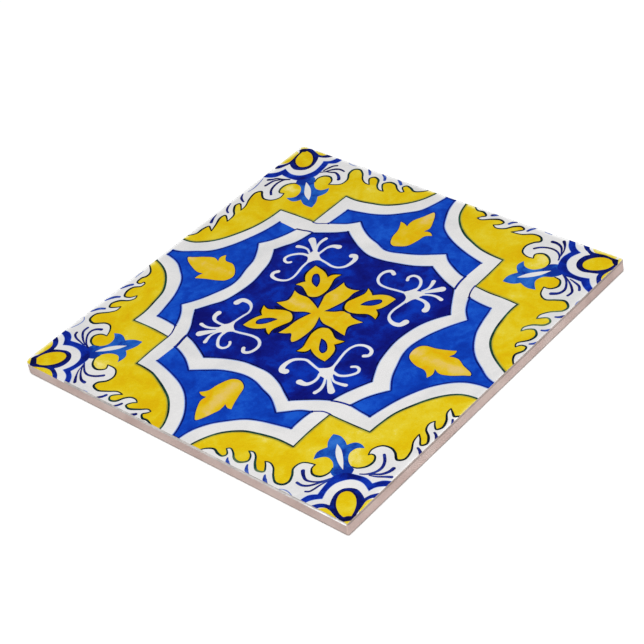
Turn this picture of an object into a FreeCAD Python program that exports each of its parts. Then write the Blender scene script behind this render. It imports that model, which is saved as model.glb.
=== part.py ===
# Azulejo: one square dust-pressed wall tile, glazed on its face and keyed on its back.
# Millimetres, +Z up. The origin is the middle of the back, so the tile lies on z = 0, glazed face up.

import FreeCAD, Part
import math
import os

# Outline of the pressed biscuit
TILE_SIDE = 150.0          # over the edges, in X and in Y
TILE_THICKNESS = 5.0       # from the back's ribs to the glazed face
CORNER_RADIUS = 0.7        # the four upright corners, seen from above
FACE_EDGE_RADIUS = 0.4     # the small arris that the glaze rolls over
BACK_EDGE_BEVEL = 0.4      # the press die's bevel round the back

# Keyed back: square pockets that the adhesive grips, left between crossing ribs
KEY_ROWS = 7               # pockets along each side
KEY_RIM = 9.0              # plain border between the pockets and the edge
KEY_RIB = 3.2              # width of a rib where it meets the wall
KEY_DEPTH = 0.7            # how far a pocket goes in
KEY_DRAFT_DEG = 35.0       # lean of a pocket's walls, so that the press lets go
KEY_CORNER_RADIUS = 1.6    # corners of a pocket at its mouth


def rounded_square(side, radius, height):
    """A closed wire: a square about the Z axis with round corners, at that height."""
    half = side / 2
    flat = half - radius
    bulge = flat + radius * math.sqrt(0.5)
    edges = []
    for quarter in range(4):
        start = FreeCAD.Vector(half, -flat, height)
        end = FreeCAD.Vector(half, flat, height)
        middle = FreeCAD.Vector(bulge, bulge, height)
        after = FreeCAD.Vector(flat, half, height)
        side_edge = Part.LineSegment(start, end).toShape()
        corner_edge = Part.Arc(end, middle, after).toShape()
        for edge in (side_edge, corner_edge):
            edge.rotate(FreeCAD.Vector(), FreeCAD.Vector(0, 0, 1), 90 * quarter)
            edges.append(edge)
    return Part.Wire(edges)


def edges_at(shape, height):
    """The edges of a shape that lie in the level plane at that height."""
    tolerance = 1e-6
    return [e for e in shape.Edges if all(abs(v.Z - height) < tolerance for v in e.Vertexes)]


def pressed_blank():
    """The tile before its back is keyed, with its rounded face edge and its bevelled back edge."""
    outline = Part.Face(rounded_square(TILE_SIDE, CORNER_RADIUS, 0))
    block = outline.extrude(FreeCAD.Vector(0, 0, TILE_THICKNESS))
    block = block.makeFillet(FACE_EDGE_RADIUS, edges_at(block, TILE_THICKNESS))
    return block.makeChamfer(BACK_EDGE_BEVEL, edges_at(block, 0))


def key_pocket(mouth):
    """The space of one pocket about the Z axis: wide at the back, narrower at its floor."""
    taken_in = KEY_DEPTH * math.tan(math.radians(KEY_DRAFT_DEG))
    mouth_wire = rounded_square(mouth, KEY_CORNER_RADIUS, 0)
    floor_wire = rounded_square(mouth - 2 * taken_in, KEY_CORNER_RADIUS - taken_in, KEY_DEPTH)
    return Part.makeLoft([mouth_wire, floor_wire], True, True)


def keyed_back():
    """All the pockets, in rows between the rims."""
    pitch = (TILE_SIDE - 2 * KEY_RIM + KEY_RIB) / KEY_ROWS
    pocket = key_pocket(pitch - KEY_RIB)
    places = [(row - (KEY_ROWS - 1) / 2) * pitch for row in range(KEY_ROWS)]
    return [pocket.translated(FreeCAD.Vector(x, y, 0)) for x in places for y in places]


def tile():
    """The finished tile: one fired piece."""
    return pressed_blank().cut(keyed_back())


os.makedirs("parts", exist_ok=True)
tile().Solids[0].exportStep("parts/tile.step")
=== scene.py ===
# Azulejo: one glazed wall tile with a hand-painted strapwork pattern, lying face up on a white floor.
import math

import bmesh
import bpy
import numpy as np
from mathutils import Matrix, Vector
from mathutils.geometry import delaunay_2d_cdt


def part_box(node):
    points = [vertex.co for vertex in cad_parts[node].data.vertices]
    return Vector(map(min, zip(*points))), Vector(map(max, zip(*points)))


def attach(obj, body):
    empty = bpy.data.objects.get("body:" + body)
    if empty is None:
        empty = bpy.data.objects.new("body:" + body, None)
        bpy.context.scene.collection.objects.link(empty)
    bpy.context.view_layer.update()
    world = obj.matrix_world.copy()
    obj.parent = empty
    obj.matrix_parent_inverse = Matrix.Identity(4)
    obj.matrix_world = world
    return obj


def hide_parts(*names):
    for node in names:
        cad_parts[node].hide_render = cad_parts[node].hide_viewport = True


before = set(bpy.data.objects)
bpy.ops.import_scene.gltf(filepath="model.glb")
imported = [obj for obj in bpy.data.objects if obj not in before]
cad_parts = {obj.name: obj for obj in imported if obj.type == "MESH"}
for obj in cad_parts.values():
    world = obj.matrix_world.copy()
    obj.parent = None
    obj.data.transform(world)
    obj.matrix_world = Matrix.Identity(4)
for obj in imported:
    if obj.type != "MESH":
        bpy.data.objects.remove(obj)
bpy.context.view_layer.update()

# The tile, in millimetres, as the CAD has it; handling has rubbed three of its corners rounder
MM = 0.001
TILE_LOW, TILE_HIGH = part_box("tile")
HALF_SIDE = (TILE_HIGH[0] - TILE_LOW[0]) / 2 / MM
THICKNESS = (TILE_HIGH[2] - TILE_LOW[2]) / MM
CORNER_RADII = {"back_right": 1.5, "back_left": 2.0, "front_left": 2.6, "front_right": 0.7}
CORNER_STEPS = 10
ARRIS_RADIUS = 0.4
BACK_BEVEL = 0.4
KEY_ROWS = 7
KEY_RIM = 9.0
KEY_RIB = 3.2
KEY_DEPTH = 0.7
KEY_DRAFT_DEG = 35.0
KEY_CORNER_RADIUS = 1.6
KEY_CORNER_STEPS = 3

# How finely the tile is drawn and cut, in millimetres
CURVE_STEP = 0.4
EDGE_STEP = 1.0
GRID_STEP = 1.5
KEY_STEP = 1.2
ARRIS_ROWS = 5
FLAT_ROWS = 2
CDT_EPSILON = 5e-4
SHARP_DEG = 40.0
BRUSH_END_STEPS = 6

# The edge of the glaze, with painted shade and highlight by side: to which paint, from which arris row, from
# where along
GLAZE_MARGIN = 0.02
GLAZE_WAVER = 0.05
GLAZE_WAVES = [(3, 0.4, 0.4), (11, 1.9, 0.3), (29, 0.7, 0.2), (67, 2.6, 0.1)]
ARRIS_HIGHLIGHT_AND_SHADE = {
    # painted shade on the front and right arris, painted highlight on the back and left arris
    "front": ("arris_highlight_and_shade", -2, -54.0),
    "right": ("painted_shade_clay", 1, -76.0),
    "back": ("arris_highlight_and_shade", 0, -76.0),
    "left": ("arris_highlight_and_shade", 0, -76.0),
}

# Widths of painted lines from end to end, how far rims and stains lie inside a field, and how paint spreads
STRAP_LINE = (0.7, 0.9, 0.7)
STRAP_CORNER_LINE = (0.55, 0.6, 0.55)
STRAP_LINES = [STRAP_LINE, STRAP_CORNER_LINE, STRAP_CORNER_LINE, STRAP_LINE]
STRAP_STAIN = (1.0, 1.0)
STRAP_STAIN_INSET = 0.4
FLAME_LINE = (0.5, 0.95, 0.5)
FIELD_RIM = (0.7, 0.7)
FIELD_RIM_INSET = 0.3
FIELD_BLEED = (0.74, 0.74)
BAND_BLEED = (0.36, 0.36)
PETAL_LINE = (0.8, 1.8, 0.8)
EYE_LINE = (0.5, 0.5)
BUD_LINE = (0.3, 0.9, 0.3)
BOSS_LINE = (1.3, 1.3)
EDGE_LINE = (0.35, 0.5, 0.35)
CROSSING_SPREAD = 1.3
FAN_SPREAD = 1.3
COMMA_SPREAD = 1.35
SCROLL_CREEP = (0.35, 0.3, 0.05)

# Shares of the baked map: the painted face, a strip for each side, and the back
MAP_HALF = 76.0
MAP_FACE = 0.86
MAP_STRIP = 0.034
MAP_BACK = 0.13
WALL_TOP = 0.95
WALL_ARRIS_STRIP = 0.88
WALL_SHADED_FOOT = 0.25
WALL_FOOT = 0.15
BEVEL_FOOT = 0.05

# Each glaze colour from its darkest wash to its lightest, and how broad its washes are
GLAZES = {
    "white": ([(217, 217, 218), (226, 225, 225), (232, 231, 231), (253, 253, 253)], 16.0),
    # arris_highlight_and_shade: white glaze of the arris, grey as painted shade and white as painted
    # highlight
    "arris_highlight_and_shade": ([(168, 164, 162), (190, 184, 180), (206, 202, 200), (253, 253, 253)], 5.0),
    "yellow": ([(219, 179, 2), (223, 193, 12), (227, 205, 48), (248, 236, 156)], 9.0),
    "stain": ([(170, 154, 40), (186, 172, 50), (200, 184, 56)], 6.0),
    "strap_line": ([(8, 32, 38), (20, 66, 54), (42, 92, 68)], 6.0),
    "outline": ([(4, 16, 30), (10, 44, 48), (28, 72, 64), (110, 132, 90)], 6.0),
    "blue": ([(4, 50, 164), (8, 65, 184), (22, 86, 202)], 7.0),
    "blue_rim": ([(2, 16, 96), (4, 28, 128), (8, 44, 156)], 6.0),
    "bleed": ([(148, 174, 230), (160, 184, 234), (172, 194, 236)], 6.0),
    "deep": ([(6, 12, 108), (7, 25, 134), (5, 50, 172), (8, 66, 192)], 8.0),
    "deep_rim": ([(2, 2, 66), (4, 10, 92), (6, 22, 118)], 6.0),
    "flower": ([(223, 173, 4), (222, 187, 14), (225, 191, 46), (227, 195, 108)], 5.0),
    "shadow": ([(2, 2, 10), (5, 6, 24), (9, 22, 88)], 5.0),
    "sky": ([(10, 46, 148), (28, 90, 187), (48, 110, 203)], 5.0),
    "royal": ([(4, 16, 104), (4, 34, 148), (14, 54, 174)], 5.0),
    "ring": ([(2, 6, 62), (4, 18, 102), (10, 38, 142)], 4.0),
    "navy": ([(4, 2, 50), (8, 8, 74), (14, 20, 110)], 5.0),
    "ink": ([(8, 14, 80), (16, 26, 116), (40, 62, 150)], 4.0),
    "comma": ([(16, 24, 104), (36, 64, 160), (72, 102, 188)], 3.0),
    "faint": ([(84, 104, 176), (116, 136, 196), (156, 170, 210)], 4.0),
}

# The fired clay, bare on the sides and back, and a darker clay painted as shade along its edges
CLAYS = {
    "biscuit": [(196, 172, 165), (208, 185, 178), (216, 196, 189)],
    # painted_shade_clay: the clay darkened as painted shade, for the foot, the bevel and the right side's
    # edge
    "painted_shade_clay": [(150, 136, 130), (164, 149, 143), (178, 164, 159)],
}

# The strip under the arris, its paint from the right side anticlockwise, painted shade on the right, and the
# foot
ARRIS_STRIP_PAINTS = ["painted_shade_clay", "biscuit", "biscuit", "biscuit"]
ARRIS_STRIP_HEIGHT = 0.35
# Painted shade: the height of the darker foot strip round the bottom of the sides
SHADED_FOOT_HEIGHT = 0.4

# Every paint, and where its shades lie along the noise that mixes them
PAINTS = [*GLAZES, *CLAYS]
SHADE_STOPS = (0.3, 0.5, 0.7, 1.0)
NOISE_LOW = 0.3
NOISE_HIGH = 0.7

# The washes, mottling, grain and ripple of a glaze, in millimetres
WASH_PEAK = 0.7
WASH_DETAIL = 4.0
WASH_SWIRL = 0.6
MOTTLE_SIZE = 1.6
MOTTLE_DETAIL = 2.0
MOTTLE_SHARE = 0.25
GRAIN_SIZE = 0.45
GRAIN_DETAIL = 1.0
GRAIN_SHARE = 0.25
GRAIN_BUMP = 0.3
RIPPLE_SIZE = 3.0
RIPPLE_DETAIL = 2.0
BUMP_STRENGTH = 0.25
BUMP_DEPTH = 0.08
GLAZE_ROUGH = (0.2, 0.32)
GLAZE_IOR = 1.5

# The stains and grit of the clay, in millimetres
CLAY_STAIN_SIZE = 9.0
CLAY_STAIN_DETAIL = 4.0
CLAY_GRIT_SIZE = 0.5
CLAY_GRIT_DETAIL = 3.0
CLAY_GRIT_SHARE = 0.5
CLAY_ROUGH = (0.8, 0.95)
CLAY_SHEEN = 0.25
CLAY_BUMP_STRENGTH = 0.5
CLAY_BUMP = 0.12

# The studio, in metres
FLOOR_HALF = 3.0
FLOOR_GAP = 0.00002
FLOOR_COLOUR = (0.8, 0.8, 0.8, 1.0)
FLOOR_ROUGH = 0.9
FLOOR_LIFT = 0.35
WHITE_LIGHT = (1.0, 1.0, 1.0, 1.0)
SOFTBOXES = [
    ("overhead", (0.25, -0.25, 1.3), 1.2, 20.5),
    ("front", (1.15, -0.8, 0.55), 0.9, 7.0),
]
SKY_STRENGTH = 0.06
SENSOR_WIDTH = 36.0
LENS = 101.96
CAMERA_PLACE = (0.37267, -0.33368, 0.39484)
CAMERA_RIGHT = (0.745923, 0.646665, -0.159445)
CAMERA_DOWN = (0.317309, -0.555518, -0.768579)

# The painting is drawn on the face in millimetres from the tile's middle, seen from above.
# A closed outline is a start point, then smooth sweeps that each go on from the last one's end.
# Sweeps meet in corners.

# The four blue fields between the straps, each traced once round from its first corner
SIDE_FIELDS = [
    # front
    [[(-32.7, -40.9)], [(-30, -41.6), (-25, -43.7), (-21.4, -46), (-19.3, -47.6)],
     [(-15, -44.9), (-10, -42), (-5, -40.3), (0, -39.5), (5, -40), (10, -41.7), (15, -43.4), (21.7, -48)],
     [(24.1, -46), (27.8, -43), (31.9, -41.4)], [(31.3, -46), (31.4, -51.4)],
     [(25, -52.8), (20, -54), (15, -56), (10, -60), (6, -64.1), (3.1, -69.2), (1.9, -74.7)],
     [(-0.9, -74.7)],
     [(-1.9, -71.1), (-4.3, -66), (-7.8, -61.4), (-12.4, -57.2), (-17.3, -54.4), (-25, -51.8),
      (-33, -50)]],
    # right
    [[(40.6, 31.4)], [(46, 30.6), (50.9, 30.4)],
     [(51.6, 28), (52.6, 23.3), (54.6, 17), (58.4, 10.8), (62.5, 6.7), (67.1, 3.7), (71.4, 1.1),
      (76, -0.2)],
     [(76, -3.1)],
     [(71.1, -3.4), (66.5, -4.7), (62.5, -7.3), (58.2, -11.9), (55.2, -17), (52.6, -23.3), (50, -33.8)],
     [(46, -33.5), (40.5, -32.8)], [(43, -26.5), (47.5, -20.2)],
     [(43.8, -14.9), (41.4, -9.2), (39.5, -3.6), (39.2, 1), (40.7, 7.8), (43.8, 14.9), (47.6, 21.2)],
     [(44, 25), (42, 28.3), (40.6, 31.4)]],
    # back
    [[(32.6, 39.4)], [(30, 40), (25.5, 41.9), (21.7, 44), (18.6, 46.8)],
     [(15.1, 44.6), (10, 41.6), (5, 39.6), (0, 38), (-3, 37.9), (-7.3, 39.5), (-12.4, 41.1), (-18, 44.1),
      (-21.6, 46.9)],
     [(-25, 43.6), (-27.3, 42.3), (-31.8, 40.1)], [(-31.3, 45), (-30.9, 50.5)],
     [(-25, 51.7), (-20, 53.1), (-15, 55.5), (-10, 59.5), (-6.2, 63.3), (-4.2, 68.2), (-2.6, 74.4)],
     [(1.6, 74.4)],
     [(3, 68.7), (5.4, 63.6), (8.1, 59.3), (12.4, 56), (17.8, 53.3), (25, 50.8), (33, 48.9)]],
    # left
    [[(-40, 31.4)], [(-41.2, 27.6), (-43.6, 22.4), (-46.9, 18.2)],
     [(-43.8, 13.8), (-41.5, 9.5), (-40.3, 4), (-38.8, -1.6), (-38.8, -6), (-41.4, -13.2),
      (-43.8, -18.1), (-47.2, -22.9)],
     [(-44, -26.3), (-41.2, -30.9), (-40.5, -32.9)], [(-45, -32.4), (-50.5, -32.2)],
     [(-51.7, -26.5), (-53.7, -19.6), (-57.6, -12.4), (-62, -8.6), (-66.5, -5.7), (-73.4, -4)],
     [(-73.4, -0.8)],
     [(-70, 0.1), (-65.2, 2.8), (-59.8, 6.2), (-55.5, 12.2), (-52.1, 20), (-50.2, 26), (-49.1, 32.2)]],
]

# The deep blue middle, clockwise from its far left corner
MIDDLE_FIELD = [
    [(-33.4, 33)], [(-30, 34.8), (-25, 37.7), (-21.8, 40.2)],
    [(-17.6, 37.6), (-12.4, 34.9), (-6, 32.7), (0, 32.8), (6, 34), (12.4, 35.8), (18.6, 38.9)],
    [(22.7, 36.7), (27.8, 34.4), (33.3, 32.6)], [(35.5, 28.9), (38.4, 24.2), (40.9, 20.6)],
    [(37.6, 16), (35.3, 11.4), (33.9, 6), (33.4, 0), (34.1, -6), (35.4, -11.6), (37.6, -16.3),
     (39.6, -20)],
    [(36.9, -25.5), (35, -30.1), (33.9, -34.2)], [(30, -36), (25, -39.1), (21.4, -41.6)],
    [(17.6, -39.5), (12.4, -36.6), (6, -34.5), (0, -34.3), (-6, -34.8), (-12.4, -36.8), (-19.4, -40.2)],
    [(-23.5, -38.2), (-28.6, -36), (-33.3, -34.6)], [(-35.5, -30.1), (-38.6, -25.8), (-40.8, -22.5)],
    [(-37.8, -17.8), (-35, -13.4), (-33.5, -7), (-33.1, 0), (-34.1, 6), (-35.5, 11.6), (-39.2, 18.2)],
    [(-37.3, 21.7), (-35.1, 25.5), (-33.4, 33)]
]

# Fine blue lines where one strap passes under another: the brush's width and the points
CROSSING_LINES = [
    (0.4, [(-37.4, 38), (-35.5, 38.2), (-33.7, 39.1), (-31.8, 40.2)]),
    (0.6, [(-40, 31.9), (-37.6, 32.3), (-35, 33), (-33.3, 33.1)]),
    (0.7, [(32.5, 40), (32.6, 37), (33, 34.5), (33.5, 32.6)]),
    (0.45, [(38.6, 37.5), (38.9, 35.5), (39.5, 33.5), (40.6, 31.3)]),
    (0.6, [(33.9, -34.2), (36, -33.5), (38.5, -33), (40.7, -32.8)]),
    (0.45, [(31.8, -41.4), (33.2, -40.5), (35, -39.6), (37.9, -39.4)]),
    (0.9, [(-33.3, -34.6), (-33, -37), (-32.6, -39), (-32.3, -41)]),
    (0.45, [(-40.5, -33), (-39.6, -34.8), (-38.9, -36.5), (-38.6, -38.6)]),
]

# The four buds, each from its round base past one ear to its tip and back past the other
BUDS = [
    # front
    [[(-8.2, -54)],
     [(-6, -51.8), (-5.3, -48.5), (-4, -44.9), (-2.7, -43.2), (0, -42.5), (3.4, -44.3), (5, -48.5),
      (6.2, -52), (7.4, -54.7)],
     [(5.9, -54.9), (3.9, -53.9)],
     [(4.2, -57.1), (3.5, -59.2), (2.4, -62), (0.6, -64.9), (-0.8, -63.8), (-3.8, -59.2), (-4.7, -56.8),
      (-4.3, -54.6)],
     [(-6.4, -54.8), (-8.2, -54)]],
    # right
    [[(54.4, 6.6)],
     [(52, 5.5), (47.5, 4), (43.8, 3.4), (42, 2), (41.4, -1), (42.5, -4), (46.8, -6.2), (50.9, -6.6),
      (52.6, -7.6), (54, -9.2)],
     [(54.7, -7), (53.6, -4.3)],
     [(56.5, -5.5), (60, -4.5), (64.1, -2), (65.9, -1), (65.2, 0), (61.1, 1.6), (57.3, 3.5), (53.8, 3)],
     [(54.7, 4.9), (54.4, 6.6)]],
    # back
    [[(7.4, 52.9)],
     [(5.2, 51.4), (4.5, 48), (3, 43.8), (0, 41.9), (-1.5, 41.4), (-3.2, 42.1), (-5.1, 45.5),
      (-5.9, 49.8), (-8.2, 54.1)],
     [(-6.7, 54), (-4.3, 53)],
     [(-4.7, 54.7), (-4.5, 57.1), (-2.7, 60.6), (-1.7, 63), (-0.8, 64.5), (0.3, 63.6), (2.4, 59.8),
      (3.8, 56), (3, 53.6)],
     [(5.4, 54.1), (7.4, 52.9)]],
    # left
    [[(-53.7, -9.2)],
     [(-50, -7.6), (-44.9, -5.8), (-42.6, -4.4), (-41.7, -1.4), (-43.6, 1.6), (-47, 4), (-50.6, 4.2),
      (-52.9, 6.8)],
     [(-53.9, 4.8), (-52.9, 2.4)],
     [(-55.7, 3.4), (-59.5, 1.9), (-63.3, -0.4), (-64.9, -1.2), (-63.6, -2.7), (-59.2, -4.9),
      (-55.5, -6), (-53, -5.7)],
     [(-53.7, -7.6), (-53.7, -9.2)]],
]

# The cross in the middle, clockwise from the far petal's left corner
CROSS = [
    [(-3.4, 15.9)], [(-1.3, 14.5), (0.6, 14.2), (2.7, 14.5), (4.4, 15.3)],
    [(3.6, 13), (3.7, 9), (2.4, 4), (0.9, 0.1)],
    [(4.3, 1.6), (6.5, 3.2), (9, 3.8), (12, 2.4), (16.9, 2.2)],
    [(14.2, -1.1), (13.9, -2.4), (15.9, -6.4)], [(12.4, -5.9), (9, -5.3), (5, -5), (1.4, -3)],
    [(3.5, -8.7), (3.7, -12), (3, -16.8), (2, -18.2), (0.9, -17.5), (-1.3, -14.9), (-3, -15.9),
     (-5.4, -16.9)],
    [(-4.5, -13), (-4.2, -9), (-2.3, -3)], [(-4.9, -3.5), (-8.4, -5.3), (-10.8, -5.6), (-17.3, -4.6)],
    [(-14.6, -1.8), (-14.7, 0.3), (-16.1, 3.7)], [(-13.2, 2.9), (-9.5, 3), (-7, 2.3), (-1.8, 0)],
    [(-3.5, 4.3), (-4.6, 7.4), (-3.7, 11.9), (-3.4, 15.9)]
]

# The four blossoms round the cross: each petal outline, then its blue eye
BLOSSOMS = [
    ([[(18.9, 17.8)], [(15.5, 18.1), (12.6, 17.1), (10.3, 15.3)], [(8.9, 16.4), (6.5, 17.7)],
      [(7.3, 15), (6.1, 11.4), (4.9, 8), (6.4, 4.9), (9, 4.2), (12, 4.9), (15.7, 6.6), (19.6, 5.8)],
      [(18.6, 8.2), (16.4, 9.9)], [(17.8, 12), (18.9, 17.8)]],
     [[(10.1, 9.4)], [(11, 12), (14.6, 14.9), (15.5, 14), (14, 11.3), (10.1, 9.4)]]),
    ([[(18.8, -20.2)], [(15, -19.8), (12, -18.7), (10.2, -17.6)], [(9.7, -19.5), (6.8, -21)],
      [(7.3, -18.4), (6.2, -14.8), (5.2, -11), (5.9, -7.6), (8.4, -6.4), (10.5, -7), (14.3, -9.2),
       (17.9, -8.8)],
      [(17, -10.4), (15.8, -11.9)], [(17.8, -13.8), (18.8, -17), (18.8, -20.2)]],
     [[(10.1, -11.8)], [(12.6, -12.5), (15.5, -15.6), (15.3, -17.2), (13.6, -16.7), (10.1, -11.8)]]),
    ([[(-19.4, -20)], [(-18.9, -16.8), (-18, -14.2), (-17, -12.6)], [(-18.8, -11), (-20.2, -8.2)],
      [(-17.5, -9), (-14.6, -7.7), (-11.5, -6.5), (-8.6, -6.6), (-5.9, -9.6), (-7.3, -13.5),
       (-8.4, -16.5), (-7.8, -19.3)],
      [(-9.3, -18.6), (-11.1, -17.2)], [(-13.3, -18.9), (-16.2, -20), (-19.4, -20)]],
     [[(-10.9, -11.7)], [(-13.6, -12.5), (-16.5, -15.5), (-15.8, -17), (-13.6, -15.9), (-10.9, -11.7)]]),
    ([[(-18.9, 18.3)], [(-16.2, 17.9), (-13.2, 17), (-10.5, 15.3)], [(-9.9, 17.2), (-7.2, 18.9)],
      [(-7.8, 16), (-6.6, 12.4), (-5.8, 9), (-6.7, 5.1), (-9.4, 3.8), (-12, 5.1), (-15.4, 6.8),
       (-18, 6.5)],
      [(-17.1, 8.2), (-16, 9.5)], [(-18.6, 12.8), (-18.9, 18.3)]],
     [[(-10.5, 9.3)], [(-11.6, 12), (-15, 15), (-15.9, 14.2), (-13.8, 10.7), (-10.5, 9.3)]]),
]

# Dark pools of paint between the blossoms and the cross: the brush's widths and the points
POOLS = [
    ((0.8, 2.4, 2.0), [(9, -5.9), (11.5, -6.9), (15, -7.6)]),
    ((0.8, 2.4, 2.0), [(-10, 3.4), (-13, 4.2), (-16.4, 5.2)]),
    ((0.6, 1.6, 1.2), [(-10, -6.1), (-13, -6.5), (-16, -6.6)]),
    ((0.8, 1.8, 1.8), [(-5, -10), (-5.9, -13.5), (-6.9, -17)]),
    ((0.6, 1.8, 1.6), [(4.4, 9.5), (5, 12.5), (5.6, 15.8)]),
    ((0.5, 1.6, 1.4), [(8, 4), (11.5, 4), (15.5, 5.2)]),
    ((0.5, 1.6, 1.2), [(-5.2, 8.5), (-5.5, 12), (-6.2, 15.6)]),
]

# The four white scrolls: a hub, then each stroke as the brush's widths from start to end and the points
SCROLLS = [
    ([[(-25.9, 22.2)], [(-25.4, 25.3)], [(-22.8, 25)], [(-21.4, 23.4), (-19.2, 22.3)], [(-19.4, 21.6)],
      [(-21.2, 20.8), (-22.4, 18.6)], [(-23.6, 18.8)], [(-24.3, 20.2), (-25.9, 21.4)]],
     [((1.0, 1.1, 2.2), [(-20.6, 22.2), (-16.5, 21.6), (-13.4, 21.1), (-10.8, 21.7), (-9, 23.5),
                         (-8.4, 26.3), (-8.7, 28.6), (-9.9, 29.8), (-11, 29.4)]),
      ((1.1, 1.1, 2.3), [(-22.6, 23.5), (-22.5, 26.5), (-22.2, 28.8), (-21, 30.4), (-18.7, 31.1)]),
      ((0.8, 1.2, 1.5), [(-24.4, 25), (-26.2, 28), (-26.6, 30.5), (-26.3, 32.6)]),
      ((1.5, 2.2, 2.7), [(-25.2, 25.2), (-28.4, 28), (-30.5, 29.6)]),
      ((0.8, 1.0, 1.7), [(-26, 23), (-28.2, 24.4), (-30.2, 24.5), (-32.5, 23.9)]),
      ((1.3, 1.2, 1.1), [(-25, 21.6), (-28, 21.3), (-30.2, 19.9), (-31.7, 18), (-32, 16.3), (-31, 15),
                         (-29.4, 14.7), (-28.5, 15.5)]),
      ((1.1, 1.0, 1.6), [(-23, 19.5), (-22.8, 15.2), (-22, 11.6), (-21.8, 8.8), (-22.6, 6.8),
                         (-24.6, 5.6), (-27, 5.3), (-29.2, 6), (-29.8, 7.6), (-28.9, 9)])]),
    ([[(20, 23.8)], [(21.4, 26.2)], [(22.4, 25.8)], [(22.6, 25)], [(25.4, 26)], [(26.2, 24.7)],
      [(25.4, 22.9)], [(26, 22)], [(24.4, 20.8), (23.5, 18)], [(22.3, 18)], [(21.4, 20.4), (19, 21.9)],
      [(19, 22.7)]],
     [((1.0, 1.0, 1.6), [(20.5, 22.3), (16.5, 21.9), (12, 21.3), (8.6, 21.6), (6.4, 23.2), (5.4, 25.8),
                         (5.9, 28.2), (7.5, 29.4), (9.3, 28.6)]),
      ((1.1, 1.2, 1.2), [(21.7, 24.5), (21.9, 26.8), (21.2, 28.9), (19.8, 30.6), (17.8, 31.5),
                         (16, 31.2), (15.2, 29.7), (15.8, 28.2)]),
      ((0.9, 1.2, 1.6), [(24.2, 26), (25.2, 28.2), (25, 30.3), (24.4, 32.2)]),
      ((1.3, 2.0, 2.7), [(24.8, 25.4), (27.5, 28), (29.7, 30.3)]),
      ((0.9, 1.1, 1.5), [(25.6, 24.4), (28, 25.6), (30.5, 26), (33, 25.5)]),
      ((1.2, 1.5, 2.5), [(25, 21.9), (28, 21.9), (30, 21.2), (31.3, 19.8), (31.7, 18.2)]),
      ((1.2, 1.0, 2.5), [(22.8, 19.5), (22.4, 15.8), (22, 12.7), (22.5, 9.9), (24, 8.1), (26.6, 7.1),
                         (28.9, 7.6), (29.8, 9.8)])]),
    ([[(19, -24.1)], [(20.6, -23.2), (22.2, -22), (22.8, -20.2)], [(23.6, -20.2)],
      [(24.4, -21.9), (25.7, -22.9)], [(25.8, -24)], [(26.6, -25.4)], [(26, -27)], [(24.6, -26.9)],
      [(22.9, -26.7)], [(21.9, -27)], [(21, -25.5), (19, -24.6)]],
     [((1.1, 1.1, 1.5), [(23.2, -21), (22.8, -18.3), (22.2, -15.5), (21.8, -12.5), (22.1, -10),
                         (23.2, -8.1), (25.2, -7.1), (27.6, -7.1), (29.5, -8.2), (30, -10.1),
                         (28.7, -11.3)]),
      ((1.2, 1.2, 1.1), [(25, -22.9), (27.6, -23.3), (29.7, -22.4), (31.4, -20.7), (32.3, -18.8),
                         (31.6, -17.3), (30.1, -16.9), (28.7, -17.7)]),
      ((0.8, 1.1, 1.5), [(26.2, -25), (28.2, -26.4), (30.6, -26.4), (33, -25.9)]),
      ((1.3, 1.9, 2.5), [(25.6, -25.9), (28.3, -28.6), (30.8, -30.7)]),
      ((0.9, 1.2, 1.5), [(24.6, -26.6), (26.2, -29.4), (26.8, -31.9), (26.4, -34)]),
      ((1.0, 1.4, 2.3), [(21.5, -26), (22.4, -28.2), (22.2, -30.6), (21, -32.3), (18.2, -32.6)]),
      ((1.0, 1.2, 2.5), [(20.5, -24.6), (18, -24.1), (15.4, -23.4), (13, -22.9), (10.7, -23.7),
                         (8.8, -25.2), (8, -27.6), (8.2, -30), (9.2, -31.2), (10.6, -31)])]),
    ([[(-26.1, -23.4)], [(-24.6, -22.3), (-23.9, -20.2)], [(-22.9, -20.2)], [(-22, -22.2), (-20, -23.7)],
      [(-20, -24.6)], [(-21.5, -25.6), (-21.8, -27.2)], [(-23, -27.2)], [(-23.4, -26.9)], [(-24.7, -28)],
      [(-26, -27.7)], [(-26.4, -26.2)], [(-26, -24.7)]],
     [((1.1, 0.9, 2.5), [(-23.4, -21), (-23.2, -18.8), (-22.8, -16.3), (-22.4, -14), (-23.1, -11.9),
                         (-24.8, -10.2), (-27, -9.5), (-29.2, -9.9), (-30, -11.9)]),
      ((1.0, 1.2, 2.2), [(-25.6, -23.6), (-28.2, -23.7), (-30.3, -23.2), (-31.7, -21.6), (-31.8, -19.6)]),
      ((1.1, 1.2, 1.4), [(-26, -25.9), (-28.1, -27), (-30.4, -27.6), (-33, -27.3)]),
      ((1.4, 2.1, 2.7), [(-25.4, -27.2), (-28.1, -29.7), (-29.8, -31.5)]),
      ((0.8, 1.1, 1.5), [(-24.6, -27.4), (-25.6, -29.9), (-25.4, -32), (-24.9, -33.8)]),
      ((1.2, 1.2, 1.0), [(-22.4, -26.8), (-22.2, -29.2), (-20.9, -31.5), (-19.1, -33.1), (-17.2, -33.1),
                         (-16.1, -31.8), (-16.4, -30.1), (-17.1, -29.3)]),
      ((1.0, 1.2, 1.4), [(-20.4, -24.2), (-17.8, -23.9), (-15, -23.3), (-12.4, -22.9), (-10, -23),
                         (-8, -23.9), (-6.7, -25.6), (-6.5, -28), (-7.5, -30.2), (-9.2, -30.8),
                         (-10.6, -29.3)])]),
]

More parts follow.
